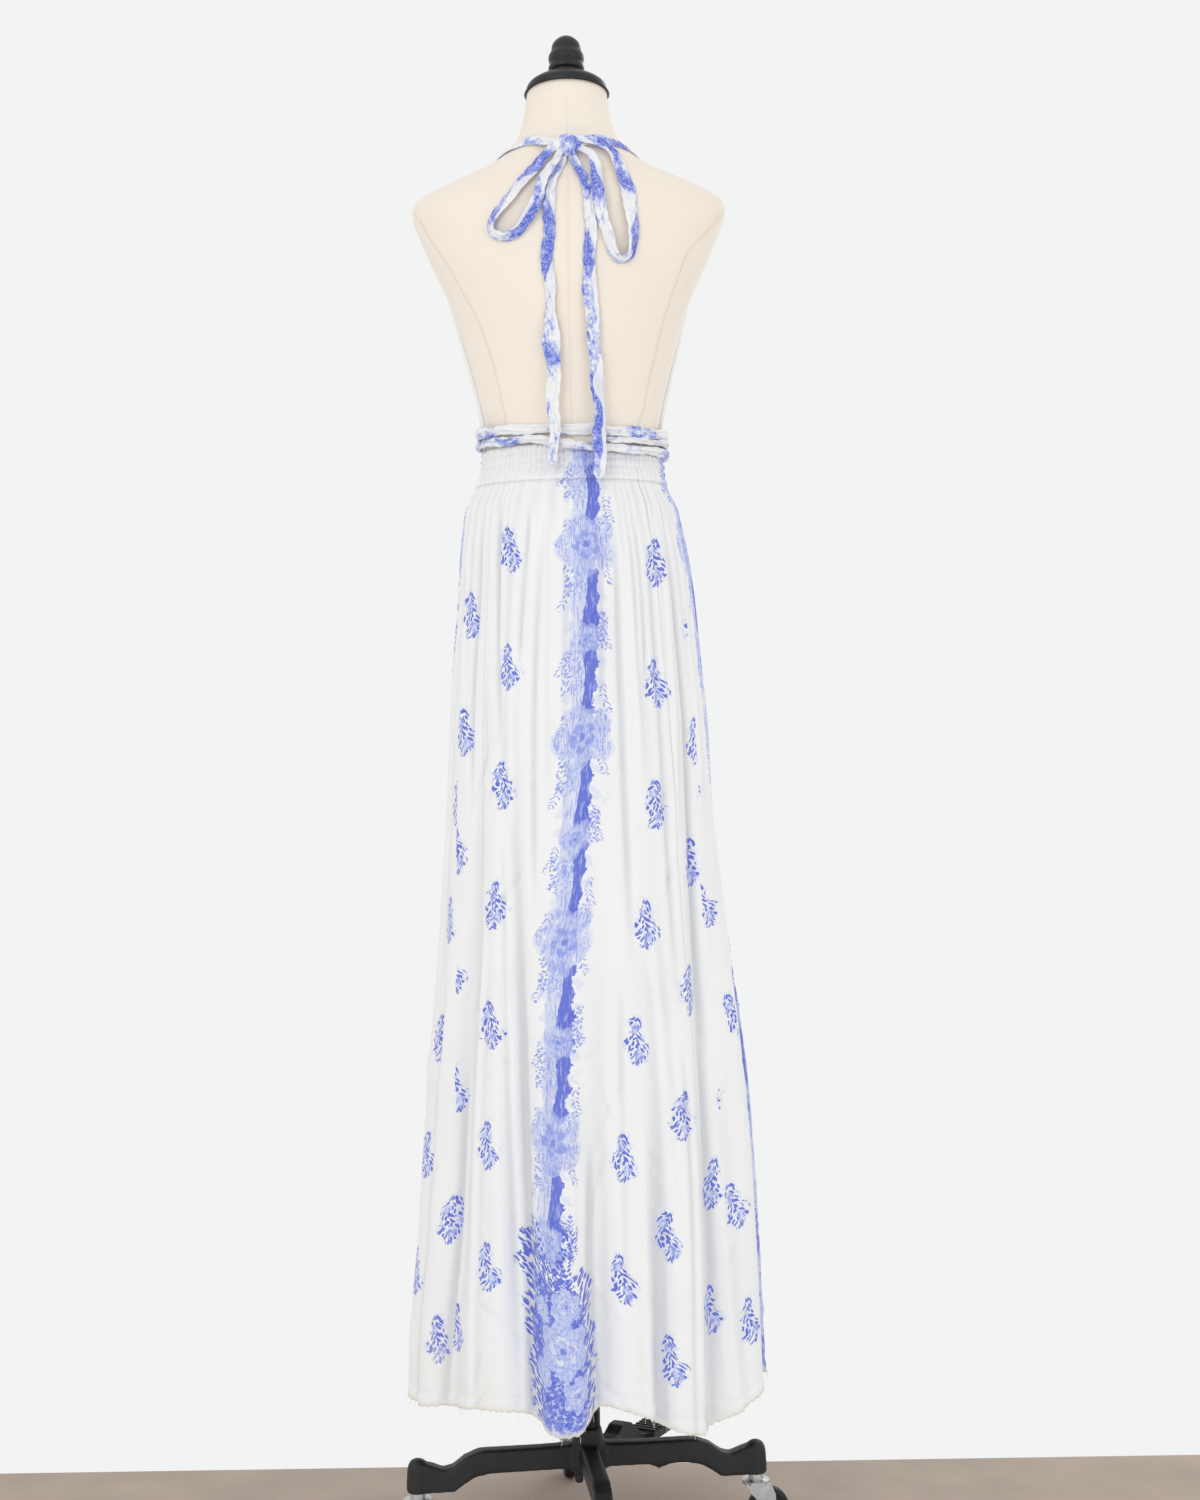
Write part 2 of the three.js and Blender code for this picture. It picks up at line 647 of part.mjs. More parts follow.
// The cap over the neck, a low dome that leans with the neck's cut
function neckCap() {
  const profile = [[0, 0.3], [48, 0.3], [48.5, 6], [47, 10], [42, 14.5], [32, 20], [20, 23.5], [0, 24]];
  return turned(profile, 28);
}

function finial() {
  const profile = [
    [0, 24.3], [18.5, 24.3], [18.5, 27], [21.5, 30.5], [21.5, 35], [19.5, 39], [21.5, 43],
    [21, 49], [18, 54], [17.5, 60], [14.5, 66], [8.5, 71.5], [0, 73.5],
  ];
  return turned(profile, 18);
}

function heightColumn() {
  const bottom = hubTopZ + seamGap;
  const seat = postBottomZ - seamGap;
  const collarBottom = columnTopZ - collarHeight;
  const profile = [
    [0, bottom], [columnRadius, bottom], [columnRadius, collarBottom], [collarRadius, collarBottom],
    [collarRadius, columnTopZ], [columnBore, columnTopZ], [columnBore, seat], [0, seat],
  ];
  return turned(profile, 20);
}

function formPost() {
  const profile = [
    [0, postBottomZ], [postRadius, postBottomZ], [postRadius, hipCutZ - 14], [34, hipCutZ - 10],
    [34, hipCutZ - seamGap], [0, hipCutZ - seamGap],
  ];
  return turned(profile, 20);
}

function bowKnot() {
  const geometry = new THREE.SphereGeometry(1, 12, 8);
  geometry.scale(14, 7.5, 12);
  const centre = aboveForm(0, 1650, 9);
  return geometry.rotateX(0.2).translate(centre.x, centre.y, centre.z);
}

// The flat knot in front that holds the ends of the waist ties
function waistKnot() {
  const geometry = new THREE.SphereGeometry(1, 12, 8);
  geometry.scale(15.5, 8.5, 19);
  const centre = aboveForm(Math.PI, 1312, 13.1);
  return geometry.translate(centre.x, centre.y, centre.z);
}

const strapShape = (value) => ({ out: 2.4, wide: value("wide"), turn: 0 });
const tieShape = (wide) => (value, angle) => ({
  out: value("out"),
  wide: wide * (1 + 0.08 * Math.sin(angle * 9)),
  turn: 8 * Math.sin(angle * 5),
});

const finishes = {
  cotton: new THREE.MeshStandardMaterial({ color: 0xf2f1ee, roughness: 0.92, metalness: 0 }),
  printedCotton: new THREE.MeshStandardMaterial({ color: 0xb9c3ec, roughness: 0.92, metalness: 0 }),
  linen: new THREE.MeshStandardMaterial({ color: 0xf0e6d8, roughness: 0.9, metalness: 0 }),
  blackPaint: new THREE.MeshStandardMaterial({ color: 0x1c1b1b, roughness: 0.45, metalness: 0.1 }),
  steel: new THREE.MeshStandardMaterial({ color: 0xa8abae, roughness: 0.35, metalness: 0.9 }),
  rubber: new THREE.MeshStandardMaterial({ color: 0x161616, roughness: 0.6, metalness: 0 }),
};

const dress = new THREE.Group();

function place(name, geometry, finish, parent = dress) {
  const mesh = new THREE.Mesh(geometry, finishes[finish]);
  mesh.name = name;
  parent.add(mesh);
  return mesh;
}

for (const panel of panelRows) place(panel.name, skirtPanel(panel), "cotton");
place("waistband", waistband(), "cotton");
place("bodice_left", bodiceHalf(-1), "cotton");
place("bodice_right", bodiceHalf(1), "cotton");
place("neck_strap_left", wrappedRibbon(strapRows, 14, 3, strapShape, -1), "printedCotton");
place("neck_strap_right", wrappedRibbon(strapRows, 14, 3, strapShape, 1), "printedCotton");
place("bow_knot", bowKnot(), "printedCotton");
place("bow_loop_left", backRibbon(loopLeftRows, 24, 3), "printedCotton");
place("bow_loop_right", backRibbon(loopRightRows, 26, 3), "printedCotton");
place("bow_tail_left", backRibbon(tailLeftRows, 26, 3), "printedCotton");
place("bow_tail_right", backRibbon(tailRightRows, 26, 3), "printedCotton");
place("waist_tie_upper", wrappedRibbon(tieUpperRows, 36, 5, tieShape(13), 1), "cotton");
place("waist_tie_middle", wrappedRibbon(tieMiddleRows, 20, 5, tieShape(8), 1), "cotton");
place("waist_tie_lower", wrappedRibbon(tieLowerRows, 36, 5.5, tieShape(10), 1), "cotton");
place("waist_knot", waistKnot(), "cotton");

place("torso", formTorso(), "linen");
const neckTop = new THREE.Group();
neckTop.position.set(0, 0, neckTopZ);
neckTop.rotation.x = radians(-capTilt);
dress.add(neckTop);
place("neck_cap", neckCap(), "blackPaint", neckTop);
place("finial", finial(), "blackPaint", neckTop);
place("post", formPost(), "steel");
place("column", heightColumn(), "blackPaint");
place("base", castBase(), "blackPaint");
place("pedal", footPedal(), "blackPaint");

const casterRows = [
  { side: "right", quarter: 0 },
  { side: "front", quarter: 1 },
  { side: "left", quarter: 2 },
  { side: "back", quarter: 3 },
];
for (const { side, quarter } of casterRows) {
  const arm = new THREE.Group();
  arm.rotation.z = radians(baseTurn + quarter * 90);
  dress.add(arm);
  place(`caster_fork_${side}`, casterFork(), "steel", arm).position.set(socketReach, 0, 0);
  const wheel = place(`caster_wheel_${side}`, casterWheel(), "rubber", arm);
  wheel.position.set(socketReach + casterTrail, 0, wheelRadius);
}

export default dress;
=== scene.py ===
import math

import bmesh
import bpy
import numpy as np
from mathutils import Matrix, Vector


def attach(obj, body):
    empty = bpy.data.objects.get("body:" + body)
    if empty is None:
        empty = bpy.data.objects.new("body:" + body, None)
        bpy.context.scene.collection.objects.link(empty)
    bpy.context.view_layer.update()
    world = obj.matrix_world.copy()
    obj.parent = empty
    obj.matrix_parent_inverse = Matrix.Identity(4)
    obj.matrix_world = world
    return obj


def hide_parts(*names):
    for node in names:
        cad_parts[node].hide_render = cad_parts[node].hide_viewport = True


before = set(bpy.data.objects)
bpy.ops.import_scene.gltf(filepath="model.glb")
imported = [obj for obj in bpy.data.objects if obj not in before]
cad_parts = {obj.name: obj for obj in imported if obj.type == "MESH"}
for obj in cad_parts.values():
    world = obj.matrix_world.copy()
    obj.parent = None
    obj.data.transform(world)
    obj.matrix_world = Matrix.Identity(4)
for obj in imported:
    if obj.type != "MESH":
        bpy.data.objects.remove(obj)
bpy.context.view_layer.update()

mm = 0.001

studio = {
    "cameraPlace": (0.0275, -2.5, 0.946), "lens": 50, "roll": -0.9,
    "floorReach": 20, "wallPlace": 0.26, "floorColour": (0.93, 0.92, 0.905),
    "concrete": (0.41, 0.335, 0.28), "concreteFrom": -0.06, "concreteFade": 0.05,
    "worldColour": (0.99, 0.995, 1.0), "worldPower": 0.90,
    "lights": [  # name, place, aims at, size, watts
        ("keyLight", (-1.5, -2.9, 2.2), (0, 0, 0.9), 1.3, 17),
        ("fillLight", (2.2, -2.2, 1.7), (0, 0, 0.9), 2.0, 8),
        ("backLight", (1.6, 2.4, 2.4), (0, 0, 1.0), 1.6, 17),
    ],
}


def setStudio():
    camera = bpy.data.objects.new("camera", bpy.data.cameras.new("camera"))
    camera.data.lens = studio["lens"]
    camera.data.sensor_width = 36
    camera.matrix_world = (Matrix.Translation(studio["cameraPlace"]) @ Matrix.Rotation(math.pi / 2, 4, "X")
                           @ Matrix.Rotation(math.radians(studio["roll"]), 4, "Z"))
    bpy.context.scene.collection.objects.link(camera)
    bpy.context.scene.camera = camera
    for name, place, aim, size, watts in studio["lights"]:
        light = bpy.data.objects.new(name, bpy.data.lights.new(name, "AREA"))
        light.data.size = size
        light.data.energy = watts
        light.location = place
        light.rotation_euler = (Vector(aim) - Vector(place)).to_track_quat("-Z", "Y").to_euler()
        bpy.context.scene.collection.objects.link(light)
    world = bpy.data.worlds.new("paleRoom")
    world.use_nodes = True
    sky = world.node_tree.nodes["Background"]
    sky.inputs["Color"].default_value = (*studio["worldColour"], 1)
    sky.inputs["Strength"].default_value = studio["worldPower"]
    bpy.context.scene.world = world
    bpy.context.scene.view_settings.view_transform = "Standard"


def wireMath(kind, reflected=False):
    def run(wire, other):
        return wire.paint.math(kind, other, wire) if reflected else wire.paint.math(kind, wire, other)
    return run


class Wire:
    def __init__(self, paint, socket):
        self.paint, self.socket = paint, socket

    __add__ = __radd__ = wireMath("ADD")
    __sub__ = wireMath("SUBTRACT")
    __rsub__ = wireMath("SUBTRACT", True)
    __mul__ = __rmul__ = wireMath("MULTIPLY")
    __truediv__ = wireMath("DIVIDE")
    __rtruediv__ = wireMath("DIVIDE", True)
    __mod__ = wireMath("FLOORED_MODULO")

    def __abs__(self):
        return self.paint.math("ABSOLUTE", self)


class Paint:
    def __init__(self, name):
        self.material = bpy.data.materials.new(name)
        self.material.use_nodes = True
        self.tree = self.material.node_tree
        self.tree.nodes.clear()

    def make(self, kind, settings=None, inputs=None, output=0):
        node = self.tree.nodes.new(kind)
        for key, value in (settings or {}).items():
            setattr(node, key, value)
        for key, value in (inputs or {}).items():
            if isinstance(value, Wire):
                self.tree.links.new(value.socket, node.inputs[key])
            else:
                node.inputs[key].default_value = value
        return Wire(self, node.outputs[output]) if len(node.outputs) else None

    def math(self, kind, *values):
        return self.make("ShaderNodeMath", {"operation": kind}, dict(enumerate(values)))

    def most(self, a, b):
        return self.math("MAXIMUM", a, b)

    def sine(self, a):
        return self.math("SINE", a)

    def length(self, x, y):
        return self.math("SQRT", x * x + y * y)

    def soft(self, value, low, high):
        settings = {"interpolation_type": "SMOOTHSTEP"}
        return self.make("ShaderNodeMapRange", settings, {"Value": value, "From Min": low, "From Max": high})

    def blend(self, factor, low, high):
        inputs = {0: factor, 6: low, 7: high}
        return self.make("ShaderNodeMix", {"data_type": "RGBA", "clamp_factor": True}, inputs, 2)

    def noise(self, scale, detail=3, vector=None, roughness=0.5):
        inputs = {"Scale": scale, "Detail": detail, "Roughness": roughness}
        if vector is not None:
            inputs["Vector"] = vector
        return self.make("ShaderNodeTexNoise", {}, inputs)

    def place(self, kind="Object"):
        return self.make("ShaderNodeTexCoord", {}, {}, kind)

    def streaks(self, vector, scale, detail=2, roughness=0.5):  # noise with its own scale along each axis
        stretched = self.make("ShaderNodeMapping", {}, {"Vector": vector, "Scale": scale})
        return self.noise(1, detail, stretched, roughness)

    def mark(self, name):
        return self.make("ShaderNodeAttribute", {"attribute_name": name}, {}, "Fac")

    def pair(self, x, y):
        return self.make("ShaderNodeCombineXYZ", {}, {0: x, 1: y})

    def parts(self, vector):
        node = self.tree.nodes.new("ShaderNodeSeparateXYZ")
        self.tree.links.new(vector.socket, node.inputs[0])
        return [Wire(self, socket) for socket in node.outputs]

    def bump(self, height, distance, strength=1.0):
        return self.make("ShaderNodeBump", {}, {"Height": height, "Distance": distance, "Strength": strength})

    def finish(self, **inputs):
        names = {"colour": "Base Color", "roughness": "Roughness", "metallic": "Metallic", "normal": "Normal",
                 "sheen": "Sheen Weight", "coat": "Coat Weight", "coatRoughness": "Coat Roughness",
                 "specular": "Specular IOR Level"}
        values = {names[key]: value for key, value in inputs.items()}
        shader = self.make("ShaderNodeBsdfPrincipled", {}, values)
        self.make("ShaderNodeOutputMaterial", {}, {"Surface": shader})
        return self.material


def scaled(colour, share):
    return tuple(value * share for value in colour[:3]) + (1,)


# the valley colour is painted shade, laid into the fold valleys of the skirt and waistband
cottonLook = {
    "ground": (0.865, 0.86, 0.85, 1), "shade": (0.80, 0.805, 0.815, 1), "valleyShade": (0.62, 0.63, 0.665, 1),
    "deep": (0.085, 0.13, 0.61, 1), "middle": (0.24, 0.30, 0.73, 1), "light": (0.57, 0.62, 0.84, 1),
    "aged": (0.80, 0.765, 0.68, 1), "roughness": 0.9, "threadSize": 1 / 0.0011,
}
garlandSizes = {"repeat": 224, "flowerAt": 83, "halfWidth": 47, "end": 900}  # mm on the flat cloth
sprigSizes = {  # mm on the flat cloth; the columns stand ever farther from the garland
    "repeat": 138, "first": 98, "farStep": 70, "edgeStep": 78, "farFrom": 133, "edgeFrom": 205,
    "rise": 100, "leftRise": -14, "farRise": 72, "edgeRise": -50,
}


def weaveHeight(paint, cloth):  # two crossed sets of uneven threads, with a few thicker ones
    across = paint.streaks(cloth, (160, cottonLook["threadSize"] * 1.3, 1))
    along = paint.streaks(cloth, (cottonLook["threadSize"] * 1.3, 120, 1))
    slub = paint.streaks(cloth, (26, 420, 1))
    crepe = paint.streaks(cloth, (240, 55, 1), 3)
    return across * 0.35 + along * 0.35 + slub * 0.5 + crepe * 1.1


def petals(paint, x, y, count, reach, depth, edge, turn=0.0):
    angle = paint.math("ARCTAN2", y, x)
    lobes = abs(paint.sine(angle * (count / 2) + turn))
    return paint.soft(reach * (1 - depth) + lobes * (reach * depth) - paint.length(x, y), -edge, edge)


def frond(paint, x, y, slope, pitch, reach, width, edge=0.4):  # slanting leaves on both sides of a stem
    outer = abs(x)
    row = (y + outer * slope) % pitch - pitch / 2
    share = outer / reach * 2 - 1
    return paint.soft((1 - share * share) * width - abs(row), -edge, edge)


def leafage(paint, x, y, slope, length, width, fill=0.36, seed=0.0):  # uneven leaves, mirrored about x = 0
    side = paint.soft(x, -0.01, 0.01)
    run, rise = math.cos(math.radians(slope)), math.sin(math.radians(slope))
    along = abs(x) * run + y * rise
    across = y * run - abs(x) * rise
    spot = paint.pair(along / length + side * 7.3 + seed, across / width + side * 3.7)
    inputs = {"Vector": spot, "Scale": 1.0, "Randomness": 0.85}
    near = paint.make("ShaderNodeTexVoronoi", {"voronoi_dimensions": "2D"}, inputs, "Distance")
    return paint.soft(near, fill + 0.05, fill - 0.05)


def sprig(paint, x, y, cloud, flake):  # a drooping posy 44 mm tall: narrow at its top, fuller below
    bent = x + paint.sine(y / 8) * 2.6 + (cloud - 0.5) * 14
    swell = abs(paint.sine(y * 0.14 + cloud * 5)) * 0.55 + 0.45
    room = paint.soft(y, 27, -4) * paint.soft(y, -27, -10) * swell * 12.5 * (flake * 1.3 + 0.35) + 2.2
    inside = paint.soft(abs(bent), room + 0.7, room - 0.5) * paint.soft(abs(y), 22.5, 20.5)
    leaves = leafage(paint, bent, y, -48, 7.4, 2.7, 0.38) * inside
    stem = paint.soft(abs(bent), 1.0, 0.4) * paint.soft(abs(y), 22, 19) * paint.soft(flake, 0.4, 0.5)
    low = petals(paint, bent - 2, y + 11 + (flake - 0.5) * 6, 5, 5.6, 0.4, 0.7, 0.4)
    high = petals(paint, bent + 2.4, y - 9, 5, 4.2, 0.4, 0.7, 1.0)
    wash = paint.soft(abs(bent), room + 3.4, room + 1.6) * paint.soft(abs(y - 1), 23.5, 21)
    return paint.most(leaves, stem), paint.most(low, high), wash * paint.soft(flake, 0.4, 0.56)


def garland(paint, x, y, colour, shown):  # a two-toned sash between round flowers and leafy sprays
    look = cottonLook
    repeat, flowerAt = garlandSizes["repeat"], garlandSizes["flowerAt"]
    turn = y * (2 * math.pi / repeat)
    field = paint.pair(x, y)
    cloud = paint.noise(0.045, 3, field, 0.6)
    flake = paint.noise(0.16, 3, field, 0.6)
    stroke = paint.streaks(field, (0.42, 0.05, 1), 3, 0.6)
    outer = abs(x)
    side = paint.soft(x, -0.01, 0.01)
    wave = paint.sine(turn * 2 + 0.5)
    pinch = abs(paint.sine((y - flowerAt) * (math.pi / repeat)))
    reach = pinch * 6 + 14 + (cloud - 0.5) * 10
    notch = abs(paint.sine(y * 0.12 + flake * 3)) * 6
    split = wave * 3 - 2 + (flake - 0.5) * 4
    sash = paint.soft(outer, reach + 1.2, reach - 1.2)
    rightSash = paint.soft(x, reach + 1 - notch, reach - 0.6 - notch)
    rightSash = rightSash * paint.soft(x, split - 0.5, split + 0.5)
    leftSash = sash * paint.soft(x, split + 0.4, split - 0.4)
    spray = paint.soft(paint.sine(turn * 2 + 1.2 + side * 2.6) + (cloud - 0.5) * 1.6, 0.05, 0.4)
    edge = spray * 13 + 15 + (flake - 0.5) * 9
    near = leafage(paint, x, y, 38, 6.4, 3.1, 0.36) * paint.soft(outer, edge + 2, edge) * spray
    lean = 30 + paint.sine(turn * 3 + side * 2) * 6
    farRoom = paint.soft(paint.sine(turn * 3 + 2.1 + side * 2.4), 0.1, 0.4) * 5.5 + 0.01
    far = frond(paint, outer - lean, y + (cloud - 0.5) * 26, -0.9, 5.6, farRoom, 1.25)
    bigRoom = paint.soft(pinch, 0.35, 0.6) * 18 + 0.01
    bigLeaves = frond(paint, outer - 11, y + side * 11 + (cloud - 0.5) * 30, -0.75, 26, bigRoom, 5.5, 1.5)
    faint = cloud * 0.9 + 0.3
    colour = paint.blend(bigLeaves * shown * faint * 0.55, colour, look["light"])
    colour = paint.blend(paint.most(near, far) * shown * (flake * 1.2 + 0.25), colour, look["middle"])
    colour = paint.blend(leftSash * shown * faint * 0.75, colour, look["light"])
    colour = paint.blend(leftSash * paint.soft(stroke, 0.5, 0.64) * shown * 0.75, colour, look["middle"])
    colour = paint.blend(rightSash * shown * 0.92, colour, look["deep"])
    colour = paint.blend(rightSash * paint.soft(stroke, 0.53, 0.64) * shown * 0.55, colour, look["light"])
    warpX, warpY = x + (flake - 0.5) * 9 + (cloud - 0.5) * 10, (cloud - 0.5) * 12
    half = repeat / 2
    flowerY = (y + (half - flowerAt)) % repeat - half + warpY
    budY = (y - flowerAt) % repeat - half + warpY
    for centreY, size in ((flowerY, 1.0), (budY, 0.5)):
        for count, radius, depth, offset, tone, share in (
                (5, 41, 0.28, 0.3, "light", 0.55), (6, 31, 0.34, 0.9, "ground", 0.35),
                (6, 30, 0.4, 0.0, "light", 0.7),
                (5, 18, 0.4, 0.4, "middle", 0.8), (5, 12, 0.4, 1.2, "light", 0.85),
                (4, 5, 0.3, 0.0, "deep", 0.8)):
            mask = petals(paint, warpX, centreY, count, radius * size, depth, 1.6, offset)
            colour = paint.blend(mask * shown * (cloud * 0.8 + 0.5) * share, colour, look[tone])
        lines = petals(paint, warpX, centreY, 5, 38 * size, 0.25, 1.6)
        lines = lines * paint.soft(abs(stroke - 0.5), 0.045, 0.015)
        colour = paint.blend(lines * shown * 0.85, colour, look["middle"])
    return colour


def printedCotton(name, printed=True, mottled=0.0):
    paint = Paint(name)
    cloth = paint.place("UV")
    body = paint.place("Object")
    wobble = paint.noise(140, 2, body)
    u, v, _ = paint.parts(cloth)
    u = u * 1000 + (wobble - 0.5) * 3.2
    v = v * 1000 + (paint.noise(120, 2, body) - 0.5) * 3.0
    look = cottonLook
    colour = paint.blend(paint.noise(9, 3, body), look["shade"], look["ground"])
    # painted shade: the grey-blue valley tone darkens the cloth in the fold valleys, where their shadow falls
    valleyShade = paint.mark("foldShade")
    colour = paint.blend(valleyShade * 0.85, colour, look["valleyShade"])
    if printed:
        side = paint.soft(u, -0.01, 0.01)  # 0 left of the garland, 1 right of it
        reach = abs(u)
        size = sprigSizes
        far = paint.soft(reach, size["farFrom"] - 0.1, size["farFrom"] + 0.1)
        edge = paint.soft(reach, size["edgeFrom"] - 0.1, size["edgeFrom"] + 0.1)
        centre = size["first"] + far * size["farStep"] + edge * size["edgeStep"]
        rise = size["rise"] + (1 - side) * size["leftRise"] + far * size["farRise"] + edge * size["edgeRise"]
        x = (reach - centre) * (side * 2 - 1)
        half = size["repeat"] / 2
        y = half - ((v - rise + half) % size["repeat"])
        cloud, flake = paint.noise(48, 2, body), paint.noise(190, 2, body)
        deep, head, wash = sprig(paint, x * 0.92, y * 0.76, cloud, flake)
        centreV = v + y
        shown = paint.soft(centreV, 45, 55) * paint.soft(centreV, 1035, 1025)
        shown = shown * (1 - edge * paint.soft(v, 640, 600))
        colour = paint.blend(wash * shown * 0.42, colour, look["light"])
        colour = paint.blend(deep * shown * 0.93, colour, look["deep"])
        colour = paint.blend(head * shown * 0.8, colour, look["light"])
        colour = paint.blend(head * shown * paint.soft(flake, 0.5, 0.56) * 0.8, colour, look["middle"])
        halfWidth, end = garlandSizes["halfWidth"], garlandSizes["end"]
        stripe = paint.soft(reach, halfWidth, halfWidth - 2) * paint.soft(v, end, end - 20)
        colour = garland(paint, u, v, colour, stripe)
        colour = hemPosy(paint, u, v, colour)
        stain = paint.soft(v, 960, 1080) * paint.soft(paint.noise(11, 3, body), 0.5, 0.75)
        colour = paint.blend(stain * 0.5, colour, look["aged"])
        rim = paint.mark("hemEdge")
        colour = paint.blend(rim * 0.9, colour, look["aged"])
    if mottled > 0:
        colour = mottledPrint(paint, cloth, colour, mottled)
    weave = weaveHeight(paint, cloth)
    normal = paint.bump(weave, 0.00045, 0.55)
    return paint.finish(colour=colour, roughness=look["roughness"], normal=normal, sheen=0.25, specular=0.25)


def hemPosy(paint, x, v, colour):  # a full posy over the hem: leafy sprays, crowded leaves, round flowers
    look = cottonLook
    y = 968 - v
    field = paint.pair(x, v)
    cloud = paint.noise(0.035, 3, field, 0.6)
    flake = paint.noise(0.12, 3, field, 0.65)
    stroke = paint.streaks(field, (0.2, 0.12, 1), 3, 0.6)
    etched = paint.soft(abs(stroke - 0.5), 0.035, 0.012)
    shown = paint.soft(v, 832, 840)
    uneven = (cloud - 0.5) * 46
    crowd = paint.soft(abs(x) + uneven, 40, 37) * paint.soft(y + uneven + x * 0.5, 52, 46)
    rim = paint.soft(abs(x) + uneven, 58, 52) * paint.soft(y + uneven * 1.6 + x * 0.4, 84, 76)
    leaves = leafage(paint, x, y, 40, 12, 4.6, 0.41) * rim
    tall = paint.soft(abs(abs(x) - 20 - paint.sine(y * 0.07) * 7), 13, 8) * paint.soft(y + uneven, 130, 110)
    sprays = leafage(paint, abs(x) - 20 - paint.sine(y * 0.07) * 7, y, 46, 7.5, 3.4, 0.37, 2.6) * tall
    body = crowd * shown
    colour = paint.blend(paint.most(leaves, sprays) * shown * 0.92, colour, look["deep"])
    colour = paint.blend(body * 0.93, colour, look["deep"])
    colour = paint.blend(body * paint.soft(cloud, 0.5, 0.6) * 0.6, colour, look["middle"])
    colour = paint.blend(body * paint.soft(flake, 0.57, 0.63) * 0.75, colour, look["light"])
    pale = leafage(paint, x, y, -35, 11, 4.4, 0.33, 4.2) * paint.soft(flake, 0.46, 0.54)
    colour = paint.blend(body * pale * 0.75, colour, look["light"])
    colour = paint.blend(body * etched * 0.3, colour, look["light"])
    warpX, warpY = x + (flake - 0.5) * 9, y + (cloud - 0.5) * 10
    for centreX, centreY, size in (
            (6, -14, 1.2), (-26, -48, 0.55), (20, -66, 0.7), (14, 34, 0.68), (-22, 22, 0.5)):
        for count, radius, depth, offset, tone, share in (
                (6, 29, 0.24, 0.0, "light", 0.95), (6, 24, 0.34, 1.1, "middle", 0.45),
                (6, 22, 0.34, 1.1, "light", 0.9), (5, 17, 0.34, 0.4, "middle", 0.4),
                (5, 15, 0.34, 0.5, "ground", 0.65), (5, 10, 0.4, 1.1, "middle", 0.6),
                (5, 7.5, 0.4, 0.4, "light", 0.8), (4, 3, 0.35, 0.0, "deep", 0.8)):
            mask = petals(paint, warpX - centreX, warpY - centreY, count, radius * size, depth, 1.2, offset)
            colour = paint.blend(mask * shown * share * (cloud * 0.5 + 0.7), colour, look[tone])
        lines = petals(paint, warpX - centreX, warpY - centreY, 6, 28 * size, 0.24, 1.2) * etched
        colour = paint.blend(lines * shown * 0.75, colour, look["middle"])
    return colour


def mottledPrint(paint, cloth, colour, amount):  # the border print crushed into the bow, straps and ties
    look = cottonLook
    zone = paint.streaks(cloth, (34, 17, 1), 1, 0.5) + (amount - 0.5) * 0.3
    blotch = paint.streaks(cloth, (210, 110, 1), 3, 0.6)
    etched = paint.soft(abs(paint.streaks(cloth, (330, 190, 1)) - 0.5), 0.05, 0.015)
    tone = zone * 0.62 + blotch * 0.38
    u, _, _ = paint.parts(cloth)
    across = u - (paint.soft(u, -0.001, 0.001) * 2 - 1) * 0.04
    limit = (paint.streaks(cloth, (0, 15, 1), 1) - 0.5) * 0.05 + 0.004
    reverse = paint.soft(across, limit - 0.0003, limit + 0.0003)
    # painted shade: a thin blue line laid along the fold where the white reverse turns over
    foldShadeLine = paint.soft(abs(across - limit), 0.0007, 0.0002)
    light = paint.soft(tone, 0.46, 0.485)
    deep = paint.soft(tone, 0.535, 0.56)
    colour = paint.blend(light * 0.7, colour, look["light"])
    colour = paint.blend(light * etched * 0.7, colour, look["middle"])
    colour = paint.blend(paint.soft(tone, 0.505, 0.53) * 0.7, colour, look["middle"])
    colour = paint.blend(deep * 0.92, colour, look["deep"])
    colour = paint.blend(deep * etched * 0.65, colour, look["light"])
    colour = paint.blend(reverse * 0.8, colour, look["ground"])
    return paint.blend(foldShadeLine * 0.5, colour, look["light"])


def linenCover():
    paint = Paint("linenCover")
    body = paint.place("Object")
    across = paint.streaks(body, (260, 260, 1500))
    up = paint.streaks(body, (1300, 1300, 170))
    threads = across * 0.5 + up * 0.5
    cloud = paint.noise(7, 3, body)
    colour = paint.blend(threads * 0.6 + cloud * 0.4, (0.80, 0.715, 0.615, 1), (0.93, 0.86, 0.77, 1))
    seam = paint.mark("seamShade")
    colour = paint.blend(seam * 0.34, colour, (0.56, 0.47, 0.38, 1))
    return paint.finish(colour=colour, roughness=0.88, normal=paint.bump(threads, 0.0004, 0.6), sheen=0.15,
                        specular=0.2)


def blackPaint(name, grain, depth, roughness, colour=(0.009, 0.009, 0.010, 1)):
    paint = Paint(name)
    body = paint.place("Object")
    skin = paint.noise(grain, 3, body)
    wear = paint.noise(28, 4, body)
    tone = paint.blend(paint.soft(wear, 0.45, 0.8), colour, scaled(colour, 1.9))
    return paint.finish(colour=tone, roughness=roughness + (wear - 0.5) * 0.18,
                        normal=paint.bump(skin, depth, 0.6), coat=0.06, coatRoughness=0.35, specular=0.4)


def zincPlate():
    paint = Paint("zincPlate")
    body = paint.place("Object")
    spangle = paint.noise(90, 3, body)
    brushed = paint.streaks(body, (80, 80, 900))
    colour = paint.blend(spangle, (0.42, 0.43, 0.44, 1), (0.68, 0.68, 0.67, 1))
    return paint.finish(colour=colour, metallic=0.95, roughness=0.28 + brushed * 0.2,
                        normal=paint.bump(brushed, 0.0002, 0.4))


def stitchThread():
    paint = Paint("stitchThread")
    fibre = paint.noise(1800, 2, paint.place("Object"))
    colour = paint.blend(fibre, (0.80, 0.79, 0.75, 1), (0.93, 0.92, 0.88, 1))
    return paint.finish(colour=colour, roughness=0.85, normal=paint.bump(fibre, 0.0001, 0.5), sheen=0.2)


